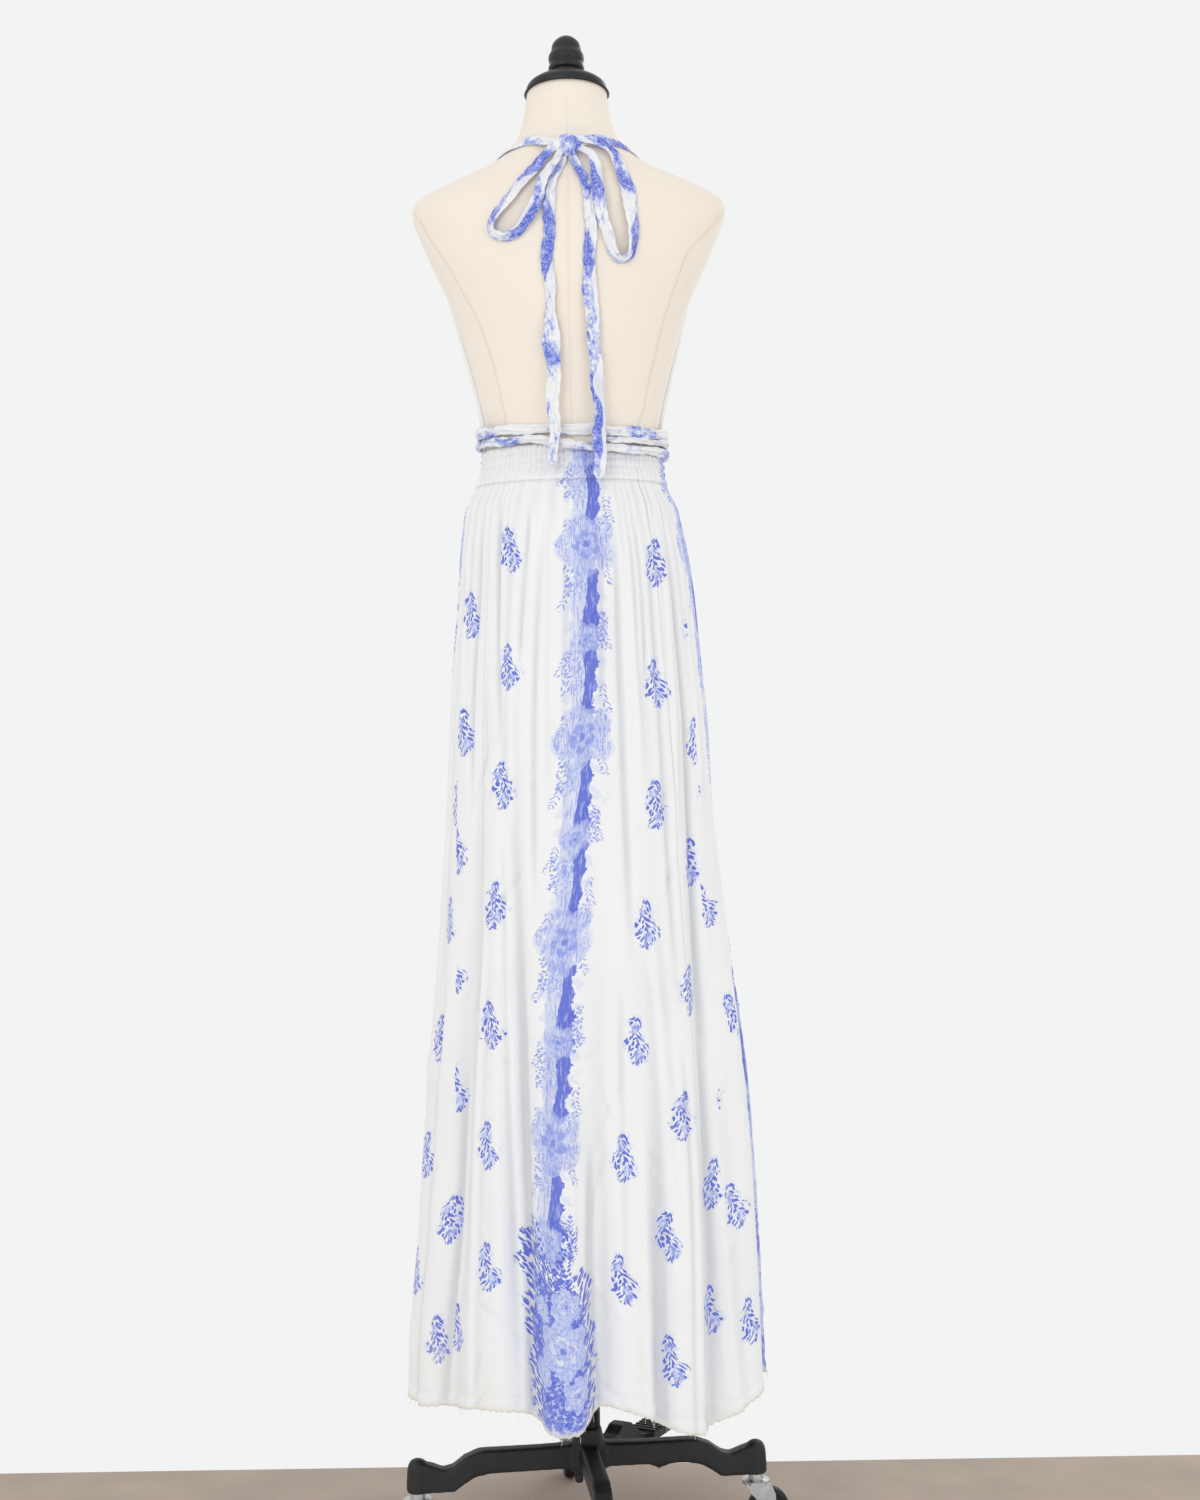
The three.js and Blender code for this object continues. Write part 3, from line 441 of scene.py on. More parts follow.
def paleFloor():  # a pale sweep with a strip of bare concrete along the wall
    paint = Paint("paleFloor")
    place = paint.place("Object")
    cloud = paint.noise(0.6, 2, place)
    grain = paint.noise(9, 5, place)
    tone, bare = studio["floorColour"], studio["concrete"]
    pale = paint.blend(cloud, scaled(tone, 0.98), scaled(tone, 1))
    concrete = paint.blend(grain, scaled(bare, 0.8), scaled(bare, 1.2))
    start, fade = studio["concreteFrom"], studio["concreteFade"]
    strip = paint.soft(paint.parts(place)[1], start - fade, start + fade)
    colour = paint.blend(strip, pale, concrete)
    return paint.finish(colour=colour, roughness=0.7 + cloud * 0.1, specular=0.2)


def softValue(rows, key, column, at):  # a soft curve through every row of a table
    keys, values = rows[:, key], rows[:, column]
    if keys[0] > keys[-1]:
        keys, values = keys[::-1], values[::-1]
    place = np.interp(at, keys, np.arange(len(keys)))
    index = np.clip(np.floor(place).astype(int), 0, len(keys) - 2)
    share = place - index
    low, high = values[index], values[index + 1]
    slopeLow = (high - values[np.clip(index - 1, 0, None)]) / 2
    slopeHigh = (values[np.clip(index + 2, None, len(keys) - 1)] - low) / 2
    square, cube = share ** 2, share ** 3
    return ((2 * cube - 3 * square + 1) * low + (cube - 2 * square + share) * slopeLow
            + (3 * square - 2 * cube) * high + (cube - square) * slopeHigh)


def smoothStep(low, high, value):
    share = np.clip((value - low) / (high - low), 0, 1)
    return share * share * (3 - 2 * share)


def gridFaces(rows, columns, wraps=False):
    steps = columns if wraps else columns - 1
    row, column = np.meshgrid(np.arange(rows - 1), np.arange(steps), indexing="ij")
    a = row * columns + column
    b = row * columns + (column + 1) % columns
    return np.stack([a, a + columns, b + columns, b], -1).reshape(-1, 4)


def makeMesh(name, points, faces, material, uv=None, smooth=True):
    mesh = bpy.data.meshes.new(name)
    mesh.from_pydata(np.asarray(points, float).reshape(-1, 3).tolist(), [], [list(face) for face in faces])
    if uv is not None:
        layer = mesh.uv_layers.new(name="clothMap")
        layer.data.foreach_set("uv", np.asarray(uv, np.float32).ravel())
    if smooth:
        mesh.polygons.foreach_set("use_smooth", np.ones(len(mesh.polygons), bool))
    mesh.update()
    mesh.materials.append(material)
    piece = bpy.data.objects.new(name, mesh)
    bpy.context.scene.collection.objects.link(piece)
    return piece


def markPoints(piece, name, values):
    mark = piece.data.attributes.new(name, "FLOAT", "POINT")
    mark.data.foreach_set("value", np.asarray(values, np.float32).ravel())


def foldValleys(points, reach, depth):  # 0 to 1 where a ring of cloth lies deeper than the cloth beside it
    away = np.hypot(points[..., 0], points[..., 1])
    mean = np.mean([np.roll(away, step, axis=1) for step in range(-reach, reach + 1)], axis=0)
    return np.clip((mean - away) / depth, 0, 1)


def addWall(piece, thickness):
    wall = piece.modifiers.new("wall", "SOLIDIFY")
    wall.thickness = thickness
    wall.offset = -1
    wall.use_even_offset = False


def freeze(piece):  # turn a piece and its modifiers into one plain mesh
    graph = bpy.context.evaluated_depsgraph_get()
    plain = bpy.data.meshes.new_from_object(piece.evaluated_get(graph))
    piece.modifiers.clear()
    piece.data = plain


def seat(piece, node, body="form"):
    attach(piece, body)
    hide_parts(node)


def mapCloth(piece, u, v):  # the piece's own map, from one value of each at every point
    layer = piece.data.uv_layers.new(name="clothMap")
    index = np.zeros(len(piece.data.loops), int)
    piece.data.loops.foreach_get("vertex_index", index)
    places = np.stack([u.ravel()[index], v.ravel()[index]], -1)
    layer.data.foreach_set("uv", places.astype(np.float32).ravel())


def normalise(vectors):
    return vectors / np.maximum(np.linalg.norm(vectors, axis=-1, keepdims=True), 1e-12)


def nodeTree(name):
    tree = bpy.data.node_groups.new(name, "GeometryNodeTree")
    tree.interface.new_socket("Geometry", in_out="OUTPUT", socket_type="NodeSocketGeometry")
    tree.interface.new_socket("Geometry", in_out="INPUT", socket_type="NodeSocketGeometry")
    return tree


def treeInput(tree, name, kind, value):
    socket = tree.interface.new_socket(name, in_out="INPUT", socket_type=kind)
    if kind != "NodeSocketMaterial":
        socket.default_value = value
    return socket.identifier


def treeNode(tree, kind, settings=None, links=None):
    node = tree.nodes.new(kind)
    for key, value in (settings or {}).items():
        setattr(node, key, value)
    for key, value in (links or {}).items():
        if isinstance(value, bpy.types.NodeSocket):
            tree.links.new(value, node.inputs[key])
        else:
            node.inputs[key].default_value = value
    return node


def stepsAlong(tree, given):  # points at even steps along the guide line
    line = treeNode(tree, "GeometryNodeMeshToCurve", {}, {"Mesh": given["Geometry"]})
    points = treeNode(tree, "GeometryNodeCurveToPoints", {"mode": "LENGTH"},
                      {"Curve": line.outputs["Curve"], "Length": given["Step"]})
    return points.outputs


def endTree(tree, rows, thread):
    real = treeNode(tree, "GeometryNodeRealizeInstances", {}, {"Geometry": rows.outputs["Instances"]})
    painted = treeNode(tree, "GeometryNodeSetMaterial", {}, {"Geometry": real.outputs["Geometry"],
                       "Material": thread})
    end = tree.nodes.new("NodeGroupOutput")
    tree.links.new(painted.outputs["Geometry"], end.inputs["Geometry"])


def stitchTree():  # short thread stitches at even steps along the edges of a guide line
    tree = nodeTree("stitchRow")
    names = {"step": treeInput(tree, "Step", "NodeSocketFloat", 0.003),
             "length": treeInput(tree, "Stitch length", "NodeSocketFloat", 0.0021),
             "radius": treeInput(tree, "Thread radius", "NodeSocketFloat", 0.0003),
             "material": treeInput(tree, "Thread", "NodeSocketMaterial", None)}
    given = tree.nodes.new("NodeGroupInput").outputs
    points = stepsAlong(tree, given)
    thread = treeNode(tree, "GeometryNodeMeshCylinder", {}, {"Vertices": 6, "Side Segments": 1,
                      "Radius": given["Thread radius"], "Depth": given["Stitch length"]})
    rows = treeNode(tree, "GeometryNodeInstanceOnPoints", {}, {"Points": points["Points"],
                    "Instance": thread.outputs["Mesh"], "Rotation": points["Rotation"]})
    endTree(tree, rows, given["Thread"])
    return tree, names


def frayTree():  # loose thread ends at random places and turns along a guide line
    tree = nodeTree("looseThreads")
    names = {"step": treeInput(tree, "Step", "NodeSocketFloat", 0.012),
             "radius": treeInput(tree, "Thread radius", "NodeSocketFloat", 0.00025),
             "seed": treeInput(tree, "Seed", "NodeSocketInt", 3),
             "material": treeInput(tree, "Thread", "NodeSocketMaterial", None)}
    given = tree.nodes.new("NodeGroupInput").outputs
    points = stepsAlong(tree, given)
    path = treeNode(tree, "GeometryNodeCurveQuadraticBezier", {}, {"Resolution": 7, "Start": (0, 0, 0.001),
                    "Middle": (0.0022, 0.001, -0.004), "End": (-0.001, -0.0008, -0.009)})
    ring = treeNode(tree, "GeometryNodeCurvePrimitiveCircle", {},
                    {"Resolution": 5, "Radius": given["Thread radius"]})
    tube = treeNode(tree, "GeometryNodeCurveToMesh", {}, {"Curve": path.outputs["Curve"],
                    "Profile Curve": ring.outputs["Curve"], "Fill Caps": True})
    spin = treeNode(tree, "FunctionNodeRandomValue", {"data_type": "FLOAT_VECTOR"}, {"Seed": given["Seed"]})
    spin.inputs["Min"].default_value = (-0.5, -0.5, 0)
    spin.inputs["Max"].default_value = (0.5, 0.5, 6.28)
    size = treeNode(tree, "FunctionNodeRandomValue", {"data_type": "FLOAT"}, {"Seed": given["Seed"]})
    size.inputs[2].default_value, size.inputs[3].default_value = 0.25, 1.0
    rows = treeNode(tree, "GeometryNodeInstanceOnPoints", {}, {"Points": points["Points"],
                    "Instance": tube.outputs["Mesh"], "Rotation": spin.outputs["Value"],
                    "Scale": size.outputs[1]})
    endTree(tree, rows, given["Thread"])
    return tree, names


def runTree(name, made, line, settings):  # line: an open row of points in metres
    tree, names = made
    points = [tuple(map(float, point)) for point in line]
    edges = [(index, index + 1) for index in range(len(points) - 1)]
    mesh = bpy.data.meshes.new(name)
    mesh.from_pydata(points, edges, [])
    piece = bpy.data.objects.new(name, mesh)
    bpy.context.scene.collection.objects.link(piece)
    modifier = piece.modifiers.new("rows", "NODES")
    modifier.node_group = tree
    for key, value in settings.items():
        modifier[names[key]] = value
    freeze(piece)
    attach(piece, "form")
    print(name, len(piece.data.polygons), "faces")


formRows = np.array([  # height, half width, depth to the back and front, squareness
    (1000, 106, 84, 74, 2), (1008, 118, 96, 86, 2), (1060, 125, 103, 92, 2), (1126, 127, 103, 94, 2),
    (1180, 122, 95, 90, 2), (1234, 112, 82, 84, 2), (1268, 107, 76, 80, 2), (1300, 104, 73, 77, 2),
    (1325, 104, 72, 77, 2), (1350, 108, 74, 81, 2), (1385, 116, 79, 93, 2), (1420, 125, 84, 108, 2.05),
    (1457, 135, 89, 116, 2.1), (1490, 147, 92, 108, 2.15), (1520, 161, 93, 94, 2.2),
    (1550, 174, 90, 82, 2.25),
    (1575, 184, 85, 73, 2.25), (1590, 187, 81, 68, 2.2), (1603, 183, 76, 64, 2.1), (1618, 158, 71, 60, 2),
    (1634, 122, 66, 56, 2), (1648, 92, 62, 53, 2), (1660, 75, 59, 50, 2), (1675, 62, 55, 48, 2),
    (1695, 54, 51, 46, 2), (1732, 48, 47, 46, 2)], float)


def formSurface(angle, z):  # metres, from an angle in radians off the back and a height in mm
    angle, z = np.broadcast_arrays(np.asarray(angle, float), np.asarray(z, float))
    wide, back, front, square = (softValue(formRows, 0, column, z) for column in (1, 2, 3, 4))
    sine, cosine = np.sin(angle), np.cos(angle)
    deep = np.where(cosine > 0, back, front)
    x = np.sign(sine) * wide * np.abs(sine) ** (2 / square)
    y = -np.sign(cosine) * deep * np.abs(cosine) ** (2 / square)
    return np.stack([x, y, z], -1) * mm


def formNormal(angle, z):
    around = formSurface(angle + 0.02, z) - formSurface(angle - 0.02, z)
    up = formSurface(angle, np.asarray(z) + 4) - formSurface(angle, np.asarray(z) - 4)
    return normalise(np.cross(around, up))


def aboveForm(angle, z, out):
    return formSurface(angle, z) + formNormal(angle, z) * (np.asarray(out)[..., None] * mm)


def backAngle(x, z):
    wide = softValue(formRows, 0, 1, z)
    square = softValue(formRows, 0, 4, z)
    return np.arcsin(np.clip(np.sign(x) * (np.abs(x) / wide) ** (square / 2), -0.999, 0.999))


skirt = {
    "top": 1261.7, "columnsPerPanel": 150, "rows": 150, "thickness": 0.0008, "seamGap": 0.012,
    "foldGain": 1.25, "creaseGain": 1.75, "gathers": 78, "slackPlaces": 26, "crumples": 210,
    "girth": 1152, "length": 1070, "hemRows": [0.9835, 0.9875, 0.9935, 0.9968, 1.0],
    "panels": [("skirtBack", "skirt_back", -46, 44), ("skirtRight", "skirt_right", 44, 134),
               ("skirtFront", "skirt_front", 134, 224), ("skirtLeft", "skirt_left", 224, 314)],
    "outline": np.array([  # height, reach to the left, right, back and front
        (1262, 117, 112, 84, 88), (1234, 127, 122, 94, 96), (1180, 134, 134, 106, 105),
        (1126, 138, 142, 114, 110),
        (1064, 145, 148, 120, 115), (985, 151, 156, 126, 121), (857, 156, 164, 133, 129),
        (704, 164, 176, 141, 138),
        (551, 177, 190, 149, 147), (368, 190, 200, 157, 156), (264, 201, 204, 161, 160),
        (150, 205, 208, 165, 164)], float),
    "hem": np.array([  # angle off the back towards +X, height
        (-180, 190), (-150, 205), (-120, 214), (-95, 196), (-75, 183), (-48, 193), (-33, 201), (-21, 199),
        (-11, 181), (-2, 180), (5, 206), (16, 199), (27, 178), (38, 167), (48, 171), (68, 199), (90, 196),
        (112, 178), (140, 176), (180, 190)], float),
    "folds": [  # angle at the waist and the hem, width in degrees, height in mm, drop where it starts
        (-45, -49, 4, -5, 0.05), (-50, -55, 5, -8, 0.25), (-60, -66, 7, 6, 0.1), (-33, -30, 8, 6, 0.12),
        (-38, -18, 4.5, -14, 0.12), (-8, -8, 7, 9, 0.3), (10, 5, 4.5, -9, 0.45), (18, 14, 6, 5, 0.3),
        (32, 25, 4, -10, 0.5), (44, 35, 7, 10, 0.35), (60, 46, 4.5, -9, 0.12), (76, 65, 9, 15, 0.2),
        (90, 87, 7, -22, 0.25), (104, 106, 9, 15, 0.2), (120, 124, 6, -11, 0.2), (134, 139, 7, 9, 0.25),
        (148, 154, 6, -12, 0.12), (163, 168, 7, 9, 0.3), (178, 183, 6, -10, 0.2), (194, 198, 7, 10, 0.15),
        (208, 213, 6, -12, 0.3), (222, 227, 7, 9, 0.2), (237, 240, 6, -11, 0.15), (252, 253, 7, 10, 0.25),
        (265, 264, 5.5, -10, 0.3), (280, 279, 8, 8, 0.15)],
    "creases": [  # start angle and drop, end angle and drop, width in degrees, height in mm
        (-41, 0.01, -36, 0.30, 1.6, -2.6), (-30, 0.02, -29, 0.42, 1.8, 2.2),
        (-24, 0.02, -25, 0.22, 1.3, -2.0),
        (-17, 0.02, -19, 0.50, 1.7, -2.4), (-9, 0.03, -12, 0.26, 1.4, 1.9), (-3, 0.02, -6, 0.62, 1.6, -2.0),
        (3, 0.05, 0, 0.36, 1.4, 1.8), (13, 0.02, 12, 0.30, 1.5, -2.2), (22, 0.02, 19, 0.55, 1.9, -2.8),
        (28, 0.03, 27, 0.35, 1.5, 2.0), (36, 0.02, 32, 0.24, 1.3, -1.9), (41, 0.02, 38, 0.60, 1.8, -2.4),
        (-56, 0.02, -52, 0.38, 1.8, -2.6), (-66, 0.03, -60, 0.30, 1.8, 2.2),
        (-74, 0.02, -73, 0.55, 2.2, -2.8),
        (50, 0.02, 44, 0.42, 1.7, 2.3), (56, 0.02, 53, 0.70, 2.0, -3.0), (67, 0.03, 60, 0.40, 1.8, 2.1),
        (82, 0.02, 76, 0.45, 2.0, -2.8), (-34, 0.34, -24, 0.98, 1.6, -3.2), (-27, 0.55, -20, 1.02, 1.5, 2.6),
        (-12, 0.50, -14, 1.02, 1.7, -2.8), (-3, 0.62, -2, 1.02, 1.5, 2.8), (2, 0.70, 3, 1.02, 1.4, -3.4),
        (16, 0.52, 12, 0.96, 1.8, -2.6), (22, 0.66, 20, 1.02, 1.6, 2.6), (30, 0.45, 29, 1.02, 1.7, 2.4),
        (38, 0.58, 36, 1.02, 1.5, -3.0), (44, 0.62, 42, 1.02, 1.6, -2.4), (-42, 0.44, -40, 1.02, 1.8, 2.6),
        (-52, 0.62, -58, 1.02, 1.8, -2.6), (-68, 0.50, -72, 1.02, 2.2, -3.0), (52, 0.56, 55, 1.02, 2.0, 2.6),
        (70, 0.48, 72, 1.02, 2.2, -3.2), (98, 0.10, 97, 0.80, 2.2, -2.8), (112, 0.02, 116, 0.60, 2.2, 2.4),
        (127, 0.02, 130, 0.72, 2.0, -2.8), (141, 0.05, 146, 1.02, 2.0, -2.4),
        (157, 0.02, 161, 0.66, 2.2, -2.6),
        (171, 0.10, 175, 1.02, 2.0, 2.6), (186, 0.02, 189, 0.58, 2.0, -2.6),
        (201, 0.20, 205, 1.02, 2.2, -2.8),
        (215, 0.02, 219, 0.64, 2.0, 2.6), (230, 0.05, 233, 1.02, 2.0, -2.8),
        (246, 0.02, 247, 0.66, 2.2, -2.6),
        (259, 0.10, 259, 1.02, 2.0, 2.6), (272, 0.02, 272, 0.60, 2.0, -2.6)],
    "garlands": [  # drop, then the angle of the back, right, front and left border stripe
        (0.00, 8.5, 84, 180, 262), (0.30, 2.3, 92, 181, 259), (0.42, -1.8, 94, 182, 258),
        (0.50, -6.0, 96, 182, 257),
        (0.68, -9.7, 100, 183, 255), (0.80, -11.5, 104, 183, 253), (0.95, -7.0, 107, 184, 252),
        (1.00, -7.0, 108, 184, 252)],
    "borders": [  # drop, then the angles where one panel's print meets the next
        (0.0, 66, 138, 222, 288), (0.5, 57, 139, 221, 301), (1.0, 53, 141, 219, 307)],
}


def skirtSurface(degrees, drop):  # outer surface in metres for angles (C) and drops (R, 1)
    angle = np.radians(degrees)
    signed = np.where(degrees > 180, degrees - 360, degrees)
    hem = softValue(skirt["hem"], 0, 1, signed)
    ragged = 0.7 * np.sin(degrees * 2.9 + 1.3 * np.sin(degrees * 0.7)) + 0.4 * np.sin(degrees * 7.3)
    z = skirt["top"] + (hem + ragged * smoothStep(0.97, 1, drop) - skirt["top"]) * drop
    sine, cosine = np.sin(angle), np.cos(angle)
    left, right, back, front = (softValue(skirt["outline"], 0, column, z) for column in (1, 2, 3, 4))
    sideShare = smoothStep(-0.06, 0.06, sine)
    wide = left + (right - left) * sideShare
    deep = front + (back - front) * smoothStep(-0.06, 0.06, cosine)
    out = np.zeros(z.shape)
    for top, low, width, high, start in skirt["folds"]:
        middle = top + (low - top) * drop ** 0.8
        off = (degrees - middle + 540) % 360 - 180
        grown = smoothStep(start, start + 0.55, drop)
        out += skirt["foldGain"] * high * grown * np.exp(-((off / width) ** 2))
    for startAngle, startDrop, endAngle, endDrop, width, high in skirt["creases"]:
        share = (drop - startDrop) / (endDrop - startDrop)
        middle = startAngle + (endAngle - startAngle) * share + 0.7 * np.sin(share * 5 + startAngle)
        off = (degrees - middle + 540) % 360 - 180
        fade = smoothStep(0, 0.22, share) * (1 - smoothStep(0.72, 1, share) * (endDrop < 1))
        out += skirt["creaseGain"] * high * fade * np.exp(-((off / width) ** 2))
    random = np.random.default_rng(11)
    for index in range(skirt["gathers"]):  # uneven gathers let down from the waist seam
        middle = index * 360 / skirt["gathers"] + random.uniform(-1.6, 1.6) + random.uniform(-3, 3) * drop
        width = random.uniform(1.0, 1.7)
        reach = random.uniform(0.06, 0.42)
        off = (degrees - middle + 540) % 360 - 180
        height = random.uniform(1.9, 3.6)
        out += height * (1 - smoothStep(0.0, reach, drop)) * np.exp(-((off / width) ** 2))
    for index in range(skirt["slackPlaces"]):  # slack places over the rest
        middle = random.uniform(0, 360)
        centre = random.uniform(0.15, 0.95)
        width, tall = random.uniform(3, 6), random.uniform(0.05, 0.12)
        lean = random.uniform(-30, 30)
        off = (degrees - middle - lean * (drop - centre) + 540) % 360 - 180
        out += random.uniform(-3.4, 3.4) * np.exp(-((off / width) ** 2) - ((drop - centre) / tall) ** 2)
    girth = skirt["girth"]
    across, down = degrees * (girth / 360), drop * skirt["length"]
    for index in range(skirt["crumples"]):  # short crumples, most of them low on the skirt
        centreX, centreY = random.uniform(-150, 1010), 1090 * random.uniform(0.1, 1) ** 0.6
        turn, long, narrow = random.uniform(-1.3, 1.3), random.uniform(16, 42), random.uniform(2.2, 4.2)
        offX = (across - centreX + girth / 2) % girth - girth / 2
        offY = down - centreY
        along = offY * math.cos(turn) + offX * math.sin(turn)
        beside = offX * math.cos(turn) - offY * math.sin(turn)
        out += random.choice((-1, 1)) * random.uniform(1.0, 2.2) * np.exp(
            -((along / long) ** 2) - (beside / narrow) ** 2)
    out = out * (0.45 + 0.55 * smoothStep(0, 0.018, drop)) - 1.2 * (1 - smoothStep(0, 0.03, drop))
    out += 0.7 * smoothStep(0.984, 0.988, drop) - 0.9 * np.exp(-(((drop - 0.986) / 0.0022) ** 2))
    x, y = wide * sine + out * sine, -deep * cosine - out * cosine
    return np.stack(np.broadcast_arrays(x, y, z), -1) * mm


def skirtDrops():
    share = np.linspace(0, 1, skirt["rows"])
    drops = share - 0.10 * np.sin(share * 2 * np.pi) / (2 * np.pi) * 2
    return np.sort(np.append(drops[:-1], skirt["hemRows"]))[:, None]


def makeSkirt(material):
    drop = skirtDrops()
    rows, columns = len(drop), skirt["columnsPerPanel"]
    garlands = np.array(skirt["garlands"], float)
    borders = np.array(skirt["borders"], float)
    ring = np.arange(-46, 314.01, 90 / columns)
    ringPoints = skirtSurface(ring, drop)
    arc = np.linalg.norm(np.diff(ringPoints, axis=1), axis=-1)
    arc = np.concatenate([np.zeros((rows, 1)), np.cumsum(arc, axis=1)], 1)
    fall = np.concatenate([[0], np.cumsum(np.linalg.norm(np.diff(ringPoints, axis=0), axis=-1).mean(1))])
    flatDrop = drop.ravel()
    valleys = foldValleys(ringPoints[:, :-1], 7, 0.0038)
    valleys = np.concatenate([valleys, valleys[:, :1]], 1)
    stripeArc = []
    for column in range(1, 5):
        angles = np.interp(flatDrop, garlands[:, 0], garlands[:, column])
        stripeArc.append(np.array([np.interp(angle, ring, arc[row]) for row, angle in enumerate(angles)]))
    stripeArc.append(stripeArc[0] + arc[:, -1])
    stripeArc = np.array(stripeArc)
    pieces = []
    for name, node, low, high in skirt["panels"]:
        degrees = np.linspace(low, high, columns + 1)
        degrees[0] += skirt["seamGap"]
        degrees[-1] -= skirt["seamGap"]
        points = skirtSurface(degrees, drop)
        edge = np.minimum(degrees - low, high - degrees)
        pinch = 0.0004 * np.exp(-((edge / 0.7) ** 2))
        inward = -normalise(points * (1, 1, 0))
        points = points + inward * pinch[None, :, None]
        faces = gridFaces(rows, columns + 1)
        row, column = faces // (columns + 1), faces % (columns + 1)
        middle = degrees[column].mean(1)
        middleDrop = flatDrop[row].mean(1)
        domain = np.zeros(len(faces), int)
        for index in range(1, 5):
            domain += middle > np.interp(middleDrop, borders[:, 0], borders[:, index])
        first = int(round((low + 46) * columns / 90))
        u = arc[row, column + first] - stripeArc[domain[:, None], row]
        v = fall[row]
        piece = makeMesh(name, points, faces, material, np.stack([u, v], -1))
        markPoints(piece, "hemEdge", smoothStep(0.9925, 0.999, drop) * np.ones(columns + 1))
        markPoints(piece, "foldShade", valleys[:, first:first + columns + 1])
        addWall(piece, skirt["thickness"])
        pieces.append((piece, node))
        print("skirt panel", name, "made")
    return pieces, ringPoints


def lineAt(ringPoints, drops, drop, lift):  # a line round the skirt at one share of its drop
    row = int(np.argmin(np.abs(drops.ravel() - drop)))
    line = ringPoints[row]
    return line + normalise(line * (1, 1, 0)) * lift


def dressSkirt(material, thread):
    pieces, ringPoints = makeSkirt(material)
    drops = skirtDrops()
    runTree("hemStitches", stitchTree(), lineAt(ringPoints, drops, 0.9835, 0.0001),
            {"step": 0.0036, "length": 0.0024, "radius": 0.00028, "material": thread})
    runTree("hemThreads", frayTree(), lineAt(ringPoints, drops, 1.0, -0.0004),
            {"step": 0.0105, "radius": 0.00022, "seed": 7, "material": thread})
    for piece, node in pieces:
        seat(piece, node)


waist = {"top": 1304.5, "bottom": 1261.4, "rows": 40, "columns": 672, "elastics": 5, "clearance": 0.9,
         "millimetresPerDegree": 2.4, "puckers": 112, "printHeight": 0.043, "thickness": 0.0005}


def makeWaistband(material):
    level = np.linspace(0, 1, waist["rows"])[:, None]
    degrees = np.arange(waist["columns"]) * 360 / waist["columns"]
    z = waist["top"] + (waist["bottom"] - waist["top"]) * level
    puff = np.abs(np.sin(level * np.pi * waist["elastics"])) ** 0.7
    random = np.random.default_rng(5)
    ruffle = np.zeros((waist["rows"], waist["columns"]))
    for index in range(waist["puckers"]):
        middle = index * 360 / waist["puckers"] + random.uniform(-1.3, 1.3)
        band = random.integers(0, waist["elastics"])
        lean = random.uniform(-1.2, 1.2)
        off = (degrees - middle - lean * level + 540) % 360 - 180
        local = 0.65 + 0.35 * np.exp(-(((level * waist["elastics"] - band - 0.5) / 0.7) ** 2))
        ruffle += random.uniform(0.7, 1.25) * local * np.exp(-((off / random.uniform(0.6, 1.0)) ** 2))
    raised = waist["clearance"] + 0.6 + (0.3 + 2.9 * puff) * ruffle + 0.9 * puff
    edge = smoothStep(0, 0.05, level) * smoothStep(0, 0.05, 1 - level)
    points = aboveForm(np.radians(degrees)[None, :], z, waist["clearance"] + 0.5
                       + (raised - waist["clearance"] - 0.5) * (0.45 + 0.55 * edge))
    seam = skirtSurface(degrees, np.array([[0.0]]))  # the band runs out into the skirt's gathers
    share = smoothStep(0.6, 1, level)[..., None] ** 1.5
    points[..., :2] += (seam[..., :2] * 1.002 - points[..., :2]) * share
    faces = gridFaces(waist["rows"], waist["columns"], True)
    columns = waist["columns"]
    middle = (faces[:, 0] % columns + 0.5) * 360 / columns
    stripes = np.array(skirt["garlands"][0][1:], float)
    nearest = stripes[np.argmin(np.abs((middle[:, None] - stripes + 180) % 360 - 180), axis=1)]
    off = (faces % columns) * 360 / columns - nearest[:, None]
    u = ((off + 180) % 360 - 180) * waist["millimetresPerDegree"] * mm
    v = (level.ravel()[faces // columns] - 1) * waist["printHeight"]
    piece = makeMesh("shirredWaistband", points, faces, material, np.stack([u, v], -1))
    markPoints(piece, "foldShade", foldValleys(points, 4, 0.0022))
    addWall(piece, waist["thickness"])
    seat(piece, "waistband")


bodice = {
    "rows": np.array([  # height, angle of the side edge and of the neckline edge
        (1304.8, 88, 179.4), (1335, 86, 178.5), (1370, 87, 173), (1405, 90, 168), (1440, 95, 163),
        (1475, 102, 160), (1510, 112, 157), (1545, 123, 155), (1580, 134, 153), (1604, 141, 152)], float),
    "top": 1604, "bottom": 1304.8, "levels": 110, "columns": 90, "clearance": 1.2, "thickness": 0.0009,
    "printWidth": 0.16, "printFrom": (0.06, 0.3),
}


